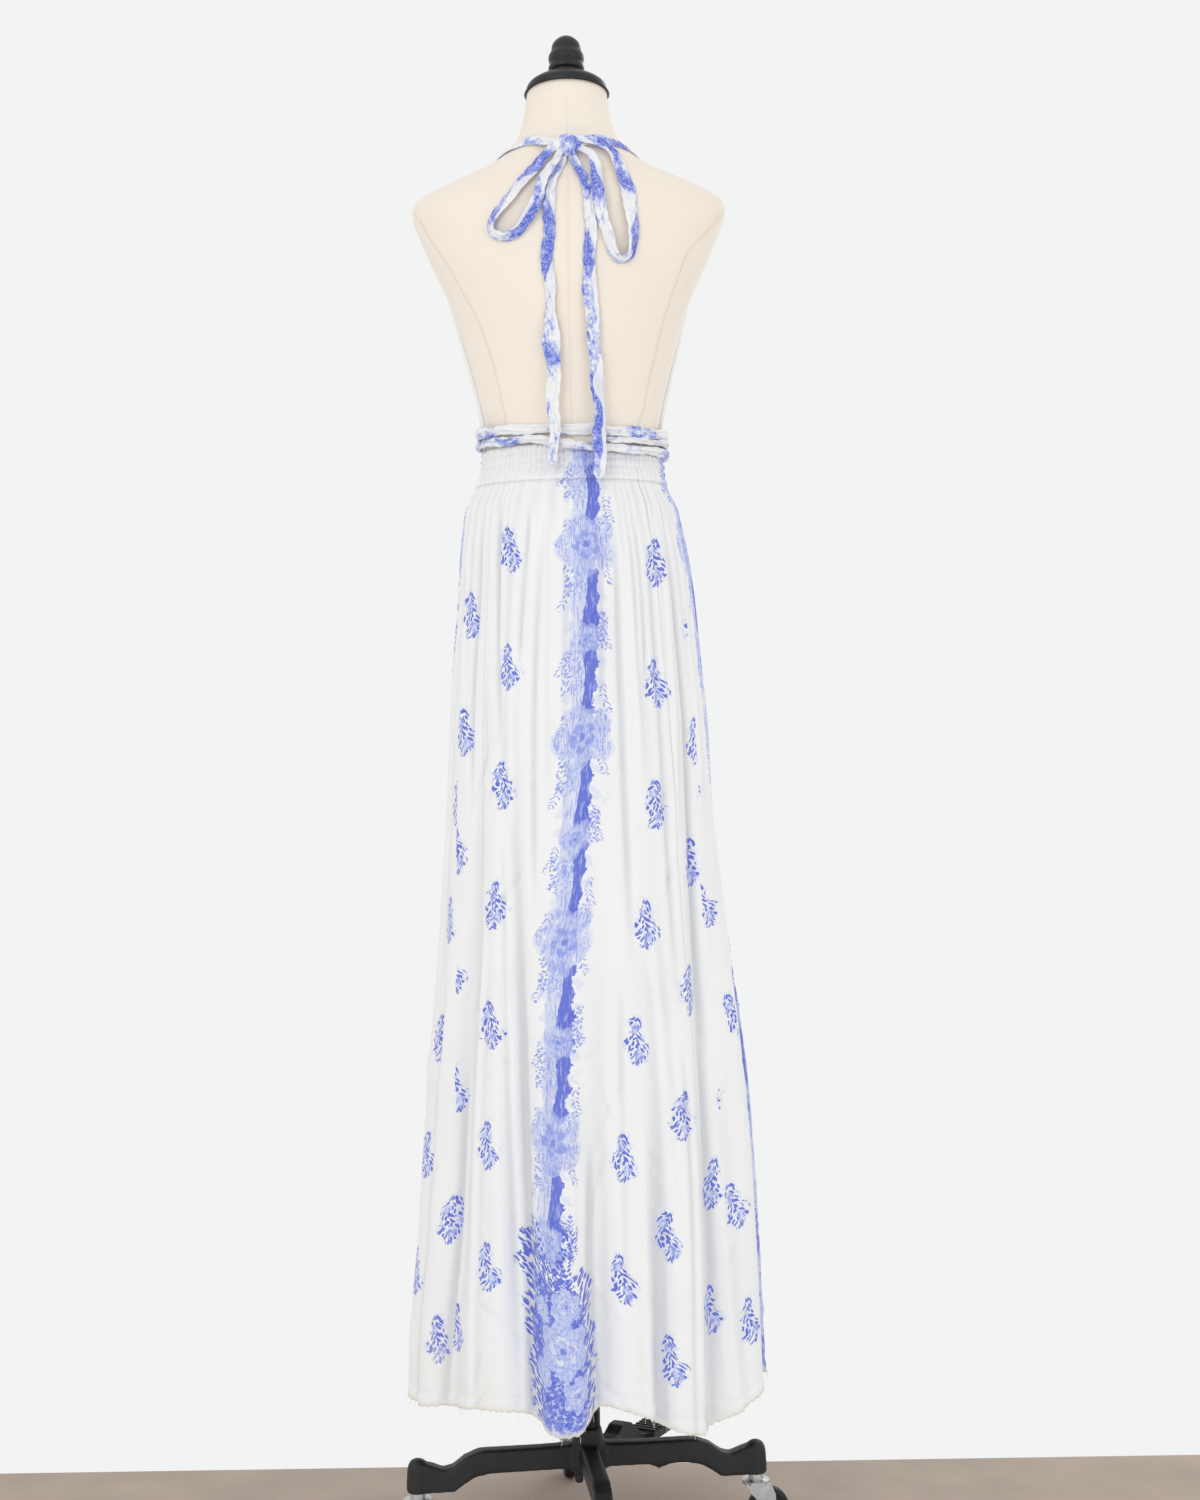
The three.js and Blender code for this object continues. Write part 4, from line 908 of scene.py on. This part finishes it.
def makeBodiceHalf(name, node, mirror, material):
    rows, columns = bodice["levels"], bodice["columns"] + 1
    top, bottom = bodice["top"], bodice["bottom"]
    z = np.linspace(top, bottom, rows)[:, None]
    side = softValue(bodice["rows"], 0, 1, z) - (5 if mirror < 0 else 0) * smoothStep(1304, 1330, z)
    neck = softValue(bodice["rows"], 0, 2, z)
    share = np.linspace(0, 1, columns)[None, :]
    if mirror < 0:
        share = share[:, ::-1]
    degrees = side + (neck - side) * share
    up = (z - bottom) / (top - bottom)
    wave = 0.9 + 0.9 * np.sin(share * np.pi * 9 + 1.4 * np.sin(up * 5)) * (0.35 + 0.65 * up)
    wave += 0.8 * np.sin(share * np.pi * 31 + up * 3) * np.exp(-((up / 0.12) ** 2))
    hem = smoothStep(0.0, 0.035, share) * smoothStep(0.0, 0.035, 1 - share)
    out = 0.8 + (bodice["clearance"] + 0.9 + wave) * hem
    points = aboveForm(np.radians(degrees) * mirror, z, out)
    faces = gridFaces(rows, columns)
    printU, printV = bodice["printFrom"]
    u = (share * bodice["printWidth"] * np.ones_like(z) + printU).ravel()[faces]
    v = ((top - z) * mm * np.ones_like(share) + printV).ravel()[faces]
    piece = makeMesh(name, points, faces, material, np.stack([u, v], -1))
    addWall(piece, bodice["thickness"])
    seat(piece, node)


def ribbonRows(rows, steps):
    rows = np.array(rows, float)
    keyed = np.concatenate([np.arange(len(rows))[:, None], rows], 1)
    at = np.linspace(0, len(rows) - 1, steps + 1)
    return [softValue(keyed, 0, column, at) for column in range(1, keyed.shape[1])]


def makeRibbon(name, node, centres, normals, wide, turn, look, material):
    count = look.get("sides", 24)
    along = normalise(np.gradient(centres, axis=0))
    across = normalise(np.cross(normals, along))
    out = np.cross(along, across)
    angle = np.radians(turn)[:, None]
    acrossTurned = across * np.cos(angle) + np.cross(along, across) * np.sin(angle)
    outTurned = out * np.cos(angle) + np.cross(along, out) * np.sin(angle)
    travel = np.concatenate([[0], np.cumsum(np.linalg.norm(np.diff(centres, axis=0), axis=1))])
    circle = 2 * np.pi * (np.arange(count) + 0.5) / count
    cosine, sine = np.cos(circle)[None, :], np.sin(circle)[None, :]
    seed = look.get("seed", 0)
    travelMm = travel[:, None] * 1000
    phase = 1.5 * np.sin(travelMm / 23 + seed) + seed
    pleat = look.get("pleat", 0.85) * np.cos(cosine * np.pi * look.get("pleats", 2.5) + phase)
    crush = look.get("crush", 0.8) * np.sin(travelMm / 3.1 + cosine * 2.1 + seed)
    crush = crush * np.sin(travelMm / 11.7 + seed * 2)
    edges = look.get("edge", 0.75) * (np.sin(travelMm / 8.3 + seed + np.sign(cosine) * 1.3)
                                      + 0.6 * np.sin(travelMm / 2.6 + seed * 3 + np.sign(cosine) * 2))
    ends = np.minimum(np.minimum(travel / 0.006, (travel[-1] - travel) / 0.006), 1)[:, None]
    halfWide = (wide[:, None] / 2 + edges) * (0.35 + 0.65 * ends)
    thick = look.get("thick", 1.9) / 2
    middle = (pleat + crush) * (0.4 + 0.6 * ends)
    profile = np.sign(sine) * np.abs(sine) ** 0.8 * thick * (0.55 + 0.45 * ends)
    points = (centres[:, None, :] + acrossTurned[:, None, :] * (cosine * halfWide)[..., None] * mm
              + outTurned[:, None, :] * ((profile + middle * np.abs(sine) ** 0.5)[..., None] * mm))
    rows = len(centres)
    faces = gridFaces(rows, count, True)[:, ::-1].tolist()
    faces.append(list(range(count)))
    faces.append(list(range(rows * count - 1, (rows - 1) * count - 1, -1)))
    piece = makeMesh(name, points, faces, material)
    mapCloth(piece, (cosine * halfWide + np.sign(sine) * 40) * mm, np.repeat(travel, count) + seed * 0.37)
    repairNormals(piece)
    seat(piece, node)
    halfGirth = float(wide.mean()) + look.get("thick", 1.9)  # the folded strip's width and thickness
    flatSize = round(halfGirth * mm, 4), round(float(travel[-1]), 3)


def repairNormals(piece):
    shell = bmesh.new()
    shell.from_mesh(piece.data)
    bmesh.ops.recalc_face_normals(shell, faces=shell.faces)
    shell.to_mesh(piece.data)
    shell.free()


bow = {
    "leftLoop": [  # x, height, distance out, width, turn
        (-5, 1651, 10, 9, 0), (-18, 1644, 9.5, 11, 0), (-40, 1622, 5, 15, 10), (-65, 1591, 4, 15, 20),
        (-85, 1565, 5, 14, 35), (-88, 1549, 6, 13, 45), (-75, 1541, 7, 13, 50), (-57, 1547, 8, 13, 40),
        (-40, 1570, 9, 14, 20), (-28, 1605, 9, 12, 5), (-14, 1630, 10, 9, 0), (-5, 1645, 10, 8, 0)],
    "rightLoop": [
        (4, 1648, 10, 8, 0), (15, 1646, 9.5, 9, 0), (26, 1638, 9, 11, 0), (33, 1620, 8.5, 13, 5),
        (35, 1587, 8, 15, 10),
        (43, 1548, 7, 14, 25), (52, 1520, 6.5, 13, 45), (62, 1513, 6.5, 13, 55), (72, 1522, 6.5, 14, 45),
        (74, 1550, 6, 16, 25), (70, 1594, 3, 18, 7), (57, 1634, 5.5, 15, 10), (40, 1652, 8, 12, 5),
        (17, 1658, 10, 10, 0), (4, 1654, 10, 9, 0)],
    "leftTail": [
        (-1, 1648, 5, 9, 0), (-7, 1634, 3.5, 10, 0), (-18, 1607, 2.5, 13, 10), (-22, 1579, 2.3, 14, -2),
        (-21, 1552, 2, 14, 0), (-25, 1521, 2.1, 14, 0), (-22, 1487, 3, 14, 10), (-21, 1462, 4.5, 12, 20),
        (-21, 1424, 7, 21, -5),
        (-18, 1395, 10, 17, 10), (-19, 1352, 14, 15, -10), (-17, 1312, 17, 13, 15), (-21, 1273, 20.5, 12, 0)],
    "rightTail": [
        (1, 1648, 5, 9, 0), (8, 1634, 3.5, 10, 0), (18, 1615, 2.5, 12, -10), (24.5, 1588, 2.3, 13, 2),
        (26, 1543, 2.2, 14, 0), (23, 1498, 2.8, 15, 10), (25, 1468, 4, 18, 0), (27, 1424, 7, 15, -10),
        (28.5, 1380, 11.5, 15, 5),
        (30, 1336, 15.5, 13, -5), (29, 1299, 17.5, 17, 10), (27.5, 1256, 22, 13, 0)],
    "strap": [  # angle, height, width, distance out
        (148.5, 1600, 18, 2.4), (138, 1622, 15, 1.9), (124, 1637, 14, 1.6), (105, 1648, 13, 1.5),
        (86, 1655, 13, 1.5), (64, 1661, 13, 1.5), (40, 1663, 13, 2.4), (17, 1658, 12, 6), (4, 1653, 11, 9)],
}
ties = {
    "upper": [  # angle, height, distance out
        (-168, 1325, 9.8), (-92, 1325, 9), (-45, 1323, 5), (0, 1320, 4), (45, 1318, 5), (92, 1321, 9),
        (168, 1324, 9.8)],
    "middle": [(22, 1308, 5), (45, 1307.5, 6.4), (92, 1309.5, 9.2), (168, 1312, 9.8)],
    "lower": [
        (-168, 1311, 9.8), (-92, 1311, 9.4), (-45, 1309, 8.5), (-20, 1308, 8.5), (5, 1299, 9), (45, 1296, 9),
        (92, 1297.5, 9.2), (168, 1300, 9.8)],
}


def backRibbon(name, node, rows, steps, look, material):
    x, z, out, wide, turn = ribbonRows(rows, steps)
    angle = backAngle(x, z)
    makeRibbon(name, node, aboveForm(angle, z, out), formNormal(angle, z), wide, turn, look, material)


def wrappedRibbon(name, node, rows, steps, mirror, look, material):
    columns = ribbonRows(rows, steps)
    angle = np.radians(columns[0]) * mirror
    z = columns[1]
    if look["tie"]:
        out = columns[2]
        wide = look["wide"] * (1 + 0.12 * np.sin(angle * 9 + look["seed"]))
        turn = 26 * np.sin(angle * 4 + look["seed"])
    else:
        out, wide, turn = columns[3], columns[2], 6 * np.sin(angle * 7)
    makeRibbon(name, node, aboveForm(angle, z, out), formNormal(angle, z), wide, turn, look, material)


def makeKnot(name, node, angle, z, out, size, tilt, material, wraps):
    rows, columns = 48, 64
    polar = np.linspace(0.02, np.pi - 0.02, rows)[:, None]
    around = np.arange(columns)[None, :] * 2 * np.pi / columns
    shape = np.stack(np.broadcast_arrays(np.sin(polar) * np.cos(around), np.sin(polar) * np.sin(around),
                                         np.cos(polar)), -1)
    bands = np.abs(np.sin(shape[..., 0] * wraps + shape[..., 2] * 1.7))
    swell = 0.93 + 0.09 * bands - 0.05 * np.cos(shape[..., 2] * 6 + shape[..., 0] * 3)
    points = shape * swell[..., None] * np.array(size) * mm
    turn = np.array(Matrix.Rotation(tilt, 3, "X"))
    centre = aboveForm(np.array(angle), np.array(float(z)), np.array(float(out)))
    points = points @ turn.T + centre
    faces = gridFaces(rows, columns, True).tolist()
    faces.append(list(range(columns))[::-1])
    faces.append(list(range((rows - 1) * columns, rows * columns)))
    piece = makeMesh(name, points, faces, material)
    mapCloth(piece, points[..., 0] - 1, points[..., 2])  # 1 m aside, where the white reverse never shows
    repairNormals(piece)
    seat(piece, node)


def dressTrim(bowCloth, plainCloth):
    for name, node, key, steps, look in (
            ("bowLoopLeft", "bow_loop_left", "leftLoop", 240, {"seed": 1.3}),
            ("bowLoopRight", "bow_loop_right", "rightLoop", 300, {"seed": 2.9}),
            ("bowTailLeft", "bow_tail_left", "leftTail", 340, {"seed": 4.1}),
            ("bowTailRight", "bow_tail_right", "rightTail", 340, {"seed": 5.6})):
        backRibbon(name, node, bow[key], steps, look, bowCloth)
    for name, node, mirror, seed in (("neckStrapLeft", "neck_strap_left", -1, 0.7),
                                     ("neckStrapRight", "neck_strap_right", 1, 3.3)):
        look = {"tie": False, "seed": seed, "crush": 0.25}
        wrappedRibbon(name, node, bow["strap"], 120, mirror, look, bowCloth)
    makeKnot("bowKnot", "bow_knot", 0.0, 1650, 9.5, (15.5, 9.5, 13), 0.2, bowCloth, 5)
    for name, node, key, steps, look in (
            ("waistTieUpper", "waist_tie_upper", "upper", 360, {"wide": 13, "thick": 5, "seed": 0.4}),
            ("waistTieMiddle", "waist_tie_middle", "middle", 200, {"wide": 8, "thick": 5, "seed": 1.9}),
            ("waistTieLower", "waist_tie_lower", "lower", 360, {"wide": 10, "thick": 5.5, "seed": 3.2})):
        look.update({"tie": True, "pleat": 0.9, "pleats": 3, "crush": 0.7})
        wrappedRibbon(name, node, ties[key], steps, 1, look, plainCloth)
    makeKnot("waistKnot", "waist_knot", math.pi, 1312, 13.1, (15.5, 8.5, 19), 0.0, plainCloth, 4)


cover = {
    "capTilt": 6, "rows": 200, "columns": 300,
    "backSeams": [  # x and height down a princess seam
        [(-183, 1588), (-176, 1578), (-141, 1516), (-103, 1440), (-81, 1352), (-77, 1325), (-74, 1180)],
        [(185, 1590), (180, 1580), (140, 1528), (111, 1452), (85, 1343), (76, 1318), (72, 1180)],
        [(0, 1715), (0, 1640), (0, 1560), (0, 1450), (0, 1350), (0, 1180)]],
}


def makeTorso(material):
    z = np.sort(np.append(np.linspace(1000, 1732, cover["rows"]), [1000.5, 1002, 1004]))[::-1][:, None]
    angle = np.arange(cover["columns"])[None, :] * 2 * np.pi / cover["columns"]
    out = np.zeros((len(z), cover["columns"]))
    shade = np.zeros((len(z), cover["columns"]))
    points = formSurface(angle, z)
    back = points[..., 1] < 0
    for line in cover["backSeams"]:
        table = np.array(line, float)
        seamX = softValue(np.flip(table, 0), 1, 0, z)
        off = points[..., 0] / mm - seamX
        depth = 0.9 if line[0][0] else 0.45
        groove = np.exp(-((off / 1.5) ** 2)) - 0.35 * np.exp(-((off / 4.5) ** 2))
        low, high = table[-1, 1], table[0, 1]
        shown = smoothStep(low, low + 20, z) * (1 - smoothStep(high - 6, high + 6, z))
        out -= depth * groove * shown * back
        shade = np.maximum(shade, np.exp(-((off / 1.2) ** 2)) * shown * (1 if line[0][0] else 0.5))
        if line[0][0]:
            out -= depth * groove * shown * ~back * 0.9
        else:
            shade = shade * back
    points = aboveForm(angle, z, out)
    points[0, :, 2] -= points[0, :, 1] * math.tan(math.radians(cover["capTilt"]))
    points[1, :, 2] -= points[1, :, 1] * math.tan(math.radians(cover["capTilt"])) * 0.9
    faces = gridFaces(len(z), cover["columns"], True).tolist()
    count = cover["columns"]
    faces.append(list(range(count))[::-1])
    faces.append(list(range((len(z) - 1) * count, len(z) * count)))
    piece = makeMesh("coveredTorso", points, faces, material)
    markPoints(piece, "seamShade", shade)
    repairNormals(piece)
    seat(piece, "torso")


def lathe(name, profile, sides, material, place=Matrix(), soft=True):
    profile = np.array(profile, float)
    if soft:
        keyed = np.concatenate([np.arange(len(profile))[:, None], profile], 1)
        at = np.linspace(0, len(profile) - 1, (len(profile) - 1) * 5 + 1)
        profile = np.stack([softValue(keyed, 0, 1, at), softValue(keyed, 0, 2, at)], -1)
    body = profile[1:-1]
    around = np.arange(sides) * 2 * np.pi / sides
    points = np.stack([body[:, 0:1] * np.cos(around), body[:, 0:1] * np.sin(around),
                       np.repeat(body[:, 1:2], sides, 1)], -1) * mm
    flat = points.reshape(-1, 3).tolist()
    faces = gridFaces(len(body), sides, True).tolist()
    flat += [(0, 0, profile[0, 1] * mm), (0, 0, profile[-1, 1] * mm)]
    first, last = len(flat) - 2, len(flat) - 1
    for side in range(sides):
        following = (side + 1) % sides
        faces.append([first, following, side])
        faces.append([last, (len(body) - 1) * sides + side, (len(body) - 1) * sides + following])
    flat = [tuple(place @ Vector(point)) for point in flat]
    piece = makeMesh(name, flat, faces, material)
    repairNormals(piece)
    return piece


stand = {
    "cap": [(0, 0.3), (47.4, 0.3), (48.3, 1.4), (48.5, 6), (47, 10), (42, 14.5), (32, 20), (20, 23.3),
            (8, 23.9), (0, 24)],
    "finial": [(0, 24.3), (18, 24.3), (18.5, 25.4), (19, 27.8), (21.3, 30.5), (21.7, 33), (21.1, 35.6),
               (19.6, 38.5),
               (20.6, 41.2), (21.5, 44), (21, 49), (18.6, 53.5), (17.8, 57), (17.2, 61), (14.5, 66),
               (8.5, 71.2), (3, 73.3), (0, 73.5)],
    "wheel": [(0, -9.1), (5, -9.1), (5.6, -8.4), (8, -8.2), (10, -9.0), (12, -9.1), (13, -7.2), (17, -6.9),
              (19, -8.3),
              (22.2, -7.7), (24.4, -6.0), (25, -4.2), (25, -1.2), (24.6, -0.6), (24.6, 0.6), (25, 1.2),
              (25, 4.2),
              (24.4, 6.0), (22.2, 7.7), (19, 8.3), (17, 6.9), (13, 7.2), (12, 9.1), (10, 9.0), (8, 8.2),
              (5.6, 8.4), (5, 9.1), (0, 9.1)],
    "socketReach": 204, "trail": 15, "baseTurn": 7, "wheelRadius": 25,
    "column": [(0, 136.3), (14.4, 136.3), (15, 137), (15, 519.4), (15.6, 519.9), (19.4, 520.2), (20, 521),
               (20, 558.8), (19.2, 560), (12.6, 560), (11.8, 559), (11.8, 329.7), (0, 329.7)],
    "post": [(0, 330), (10.4, 330), (11, 330.8), (11, 985.6), (12, 986.4), (33, 989.8), (34, 990.6),
             (34, 999.2), (33.6, 999.7), (0, 999.7)],
}


def smoothCopy(name, node, material, voxel, turns):  # a CAD node, softened or, with no voxel size, bevelled
    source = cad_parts[node]
    mesh = source.data.copy()
    piece = bpy.data.objects.new(name, mesh)
    bpy.context.scene.collection.objects.link(piece)
    mesh.materials.clear()
    mesh.materials.append(material)
    shell = bmesh.new()
    shell.from_mesh(mesh)
    bmesh.ops.remove_doubles(shell, verts=shell.verts, dist=1e-5)
    shell.to_mesh(mesh)
    shell.free()
    if voxel:
        remesh = piece.modifiers.new("skin", "REMESH")
        remesh.mode = "VOXEL"
        remesh.voxel_size = voxel
        remesh.use_smooth_shade = True
        soften = piece.modifiers.new("soften", "SMOOTH")
        soften.iterations = turns
        soften.factor = 0.5
    else:
        bevel = piece.modifiers.new("edges", "BEVEL")
        bevel.width = 0.0006
        bevel.segments = 2
        bevel.limit_method = "ANGLE"
        bevel.angle_limit = math.radians(35)
    freeze(piece)
    if voxel:
        piece.data.polygons.foreach_set("use_smooth", np.ones(len(piece.data.polygons), bool))
    piece.data.update()
    return piece


def dressStand(paints):
    lean = Matrix.Translation((0, 0, 1.732)) @ Matrix.Rotation(math.radians(-6), 4, "X")
    pieces = [
        (lathe("neckCap", stand["cap"], 96, paints["cap"], lean), "neck_cap", "form", "black_cap"),
        (lathe("topFinial", stand["finial"], 80, paints["cap"], lean), "finial", "form", "black_cap"),
        (lathe("heightColumn", stand["column"], 72, paints["tube"], soft=False), "column", "base",
         "black_tube"),
        (lathe("formPost", stand["post"], 64, paints["tube"], soft=False), "post", "form", "black_tube"),
        (smoothCopy("castBase", "base", paints["cast"], 0.002, 22), "base", "base", "cast_base"),
        (smoothCopy("footPedal", "pedal", paints["cast"], 0.001, 2), "pedal", "pedal", "cast_base"),
    ]
    for quarter, side in enumerate(("right", "front", "left", "back")):
        turn = Matrix.Rotation(math.radians(stand["baseTurn"] + quarter * 90), 4, "Z")
        reach = (stand["socketReach"] + stand["trail"]) * mm
        place = (turn @ Matrix.Translation((reach, 0, stand["wheelRadius"] * mm))
                 @ Matrix.Rotation(math.pi / 2, 4, "X"))
        wheel = lathe("casterWheel" + side.title(), stand["wheel"], 72, paints["rubber"], place, soft=False)
        fork = smoothCopy("casterFork" + side.title(), "caster_fork_" + side, paints["zinc"], 0, 0)
        pieces.append((wheel, "caster_wheel_" + side, "wheel_" + side, "wheel_rubber"))
        pieces.append((fork, "caster_fork_" + side, "fork_" + side, "zinc"))
    for piece, node, body, slot in pieces:
        seat(piece, node, body)


setStudio()
print("studio set")
cottonPaint = printedCotton("printedCottonGauze")
bowPaint = printedCotton("bowCottonGauze", printed=False, mottled=0.6)
tiePaint = printedCotton("tieCottonGauze", printed=False, mottled=0.3)
standPaints = {
    "cap": blackPaint("satinCap", 220, 0.00015, 0.42),
    "cast": blackPaint("castIron", 360, 0.0012, 0.5),
    "tube": blackPaint("blackTube", 300, 0.0002, 0.35),
    "rubber": blackPaint("wheelRubber", 700, 0.0002, 0.6),
    "zinc": zincPlate(),
}
print("materials made")
dressSkirt(cottonPaint, stitchThread())
print("skirt made")
makeWaistband(cottonPaint)
makeBodiceHalf("bodiceLeft", "bodice_left", -1, cottonPaint)
makeBodiceHalf("bodiceRight", "bodice_right", 1, cottonPaint)
print("waistband and bodice made")
dressTrim(bowPaint, tiePaint)
print("straps, bow and ties made")
makeTorso(linenCover())
dressStand(standPaints)
print("form and stand made")

reach, wall = studio["floorReach"], studio["wallPlace"]
floor = makeMesh("floor", [(-reach, -reach, 0), (reach, -reach, 0), (reach, wall, 0), (-reach, wall, 0)],
                 [(0, 1, 2, 3)], paleFloor(), smooth=False)
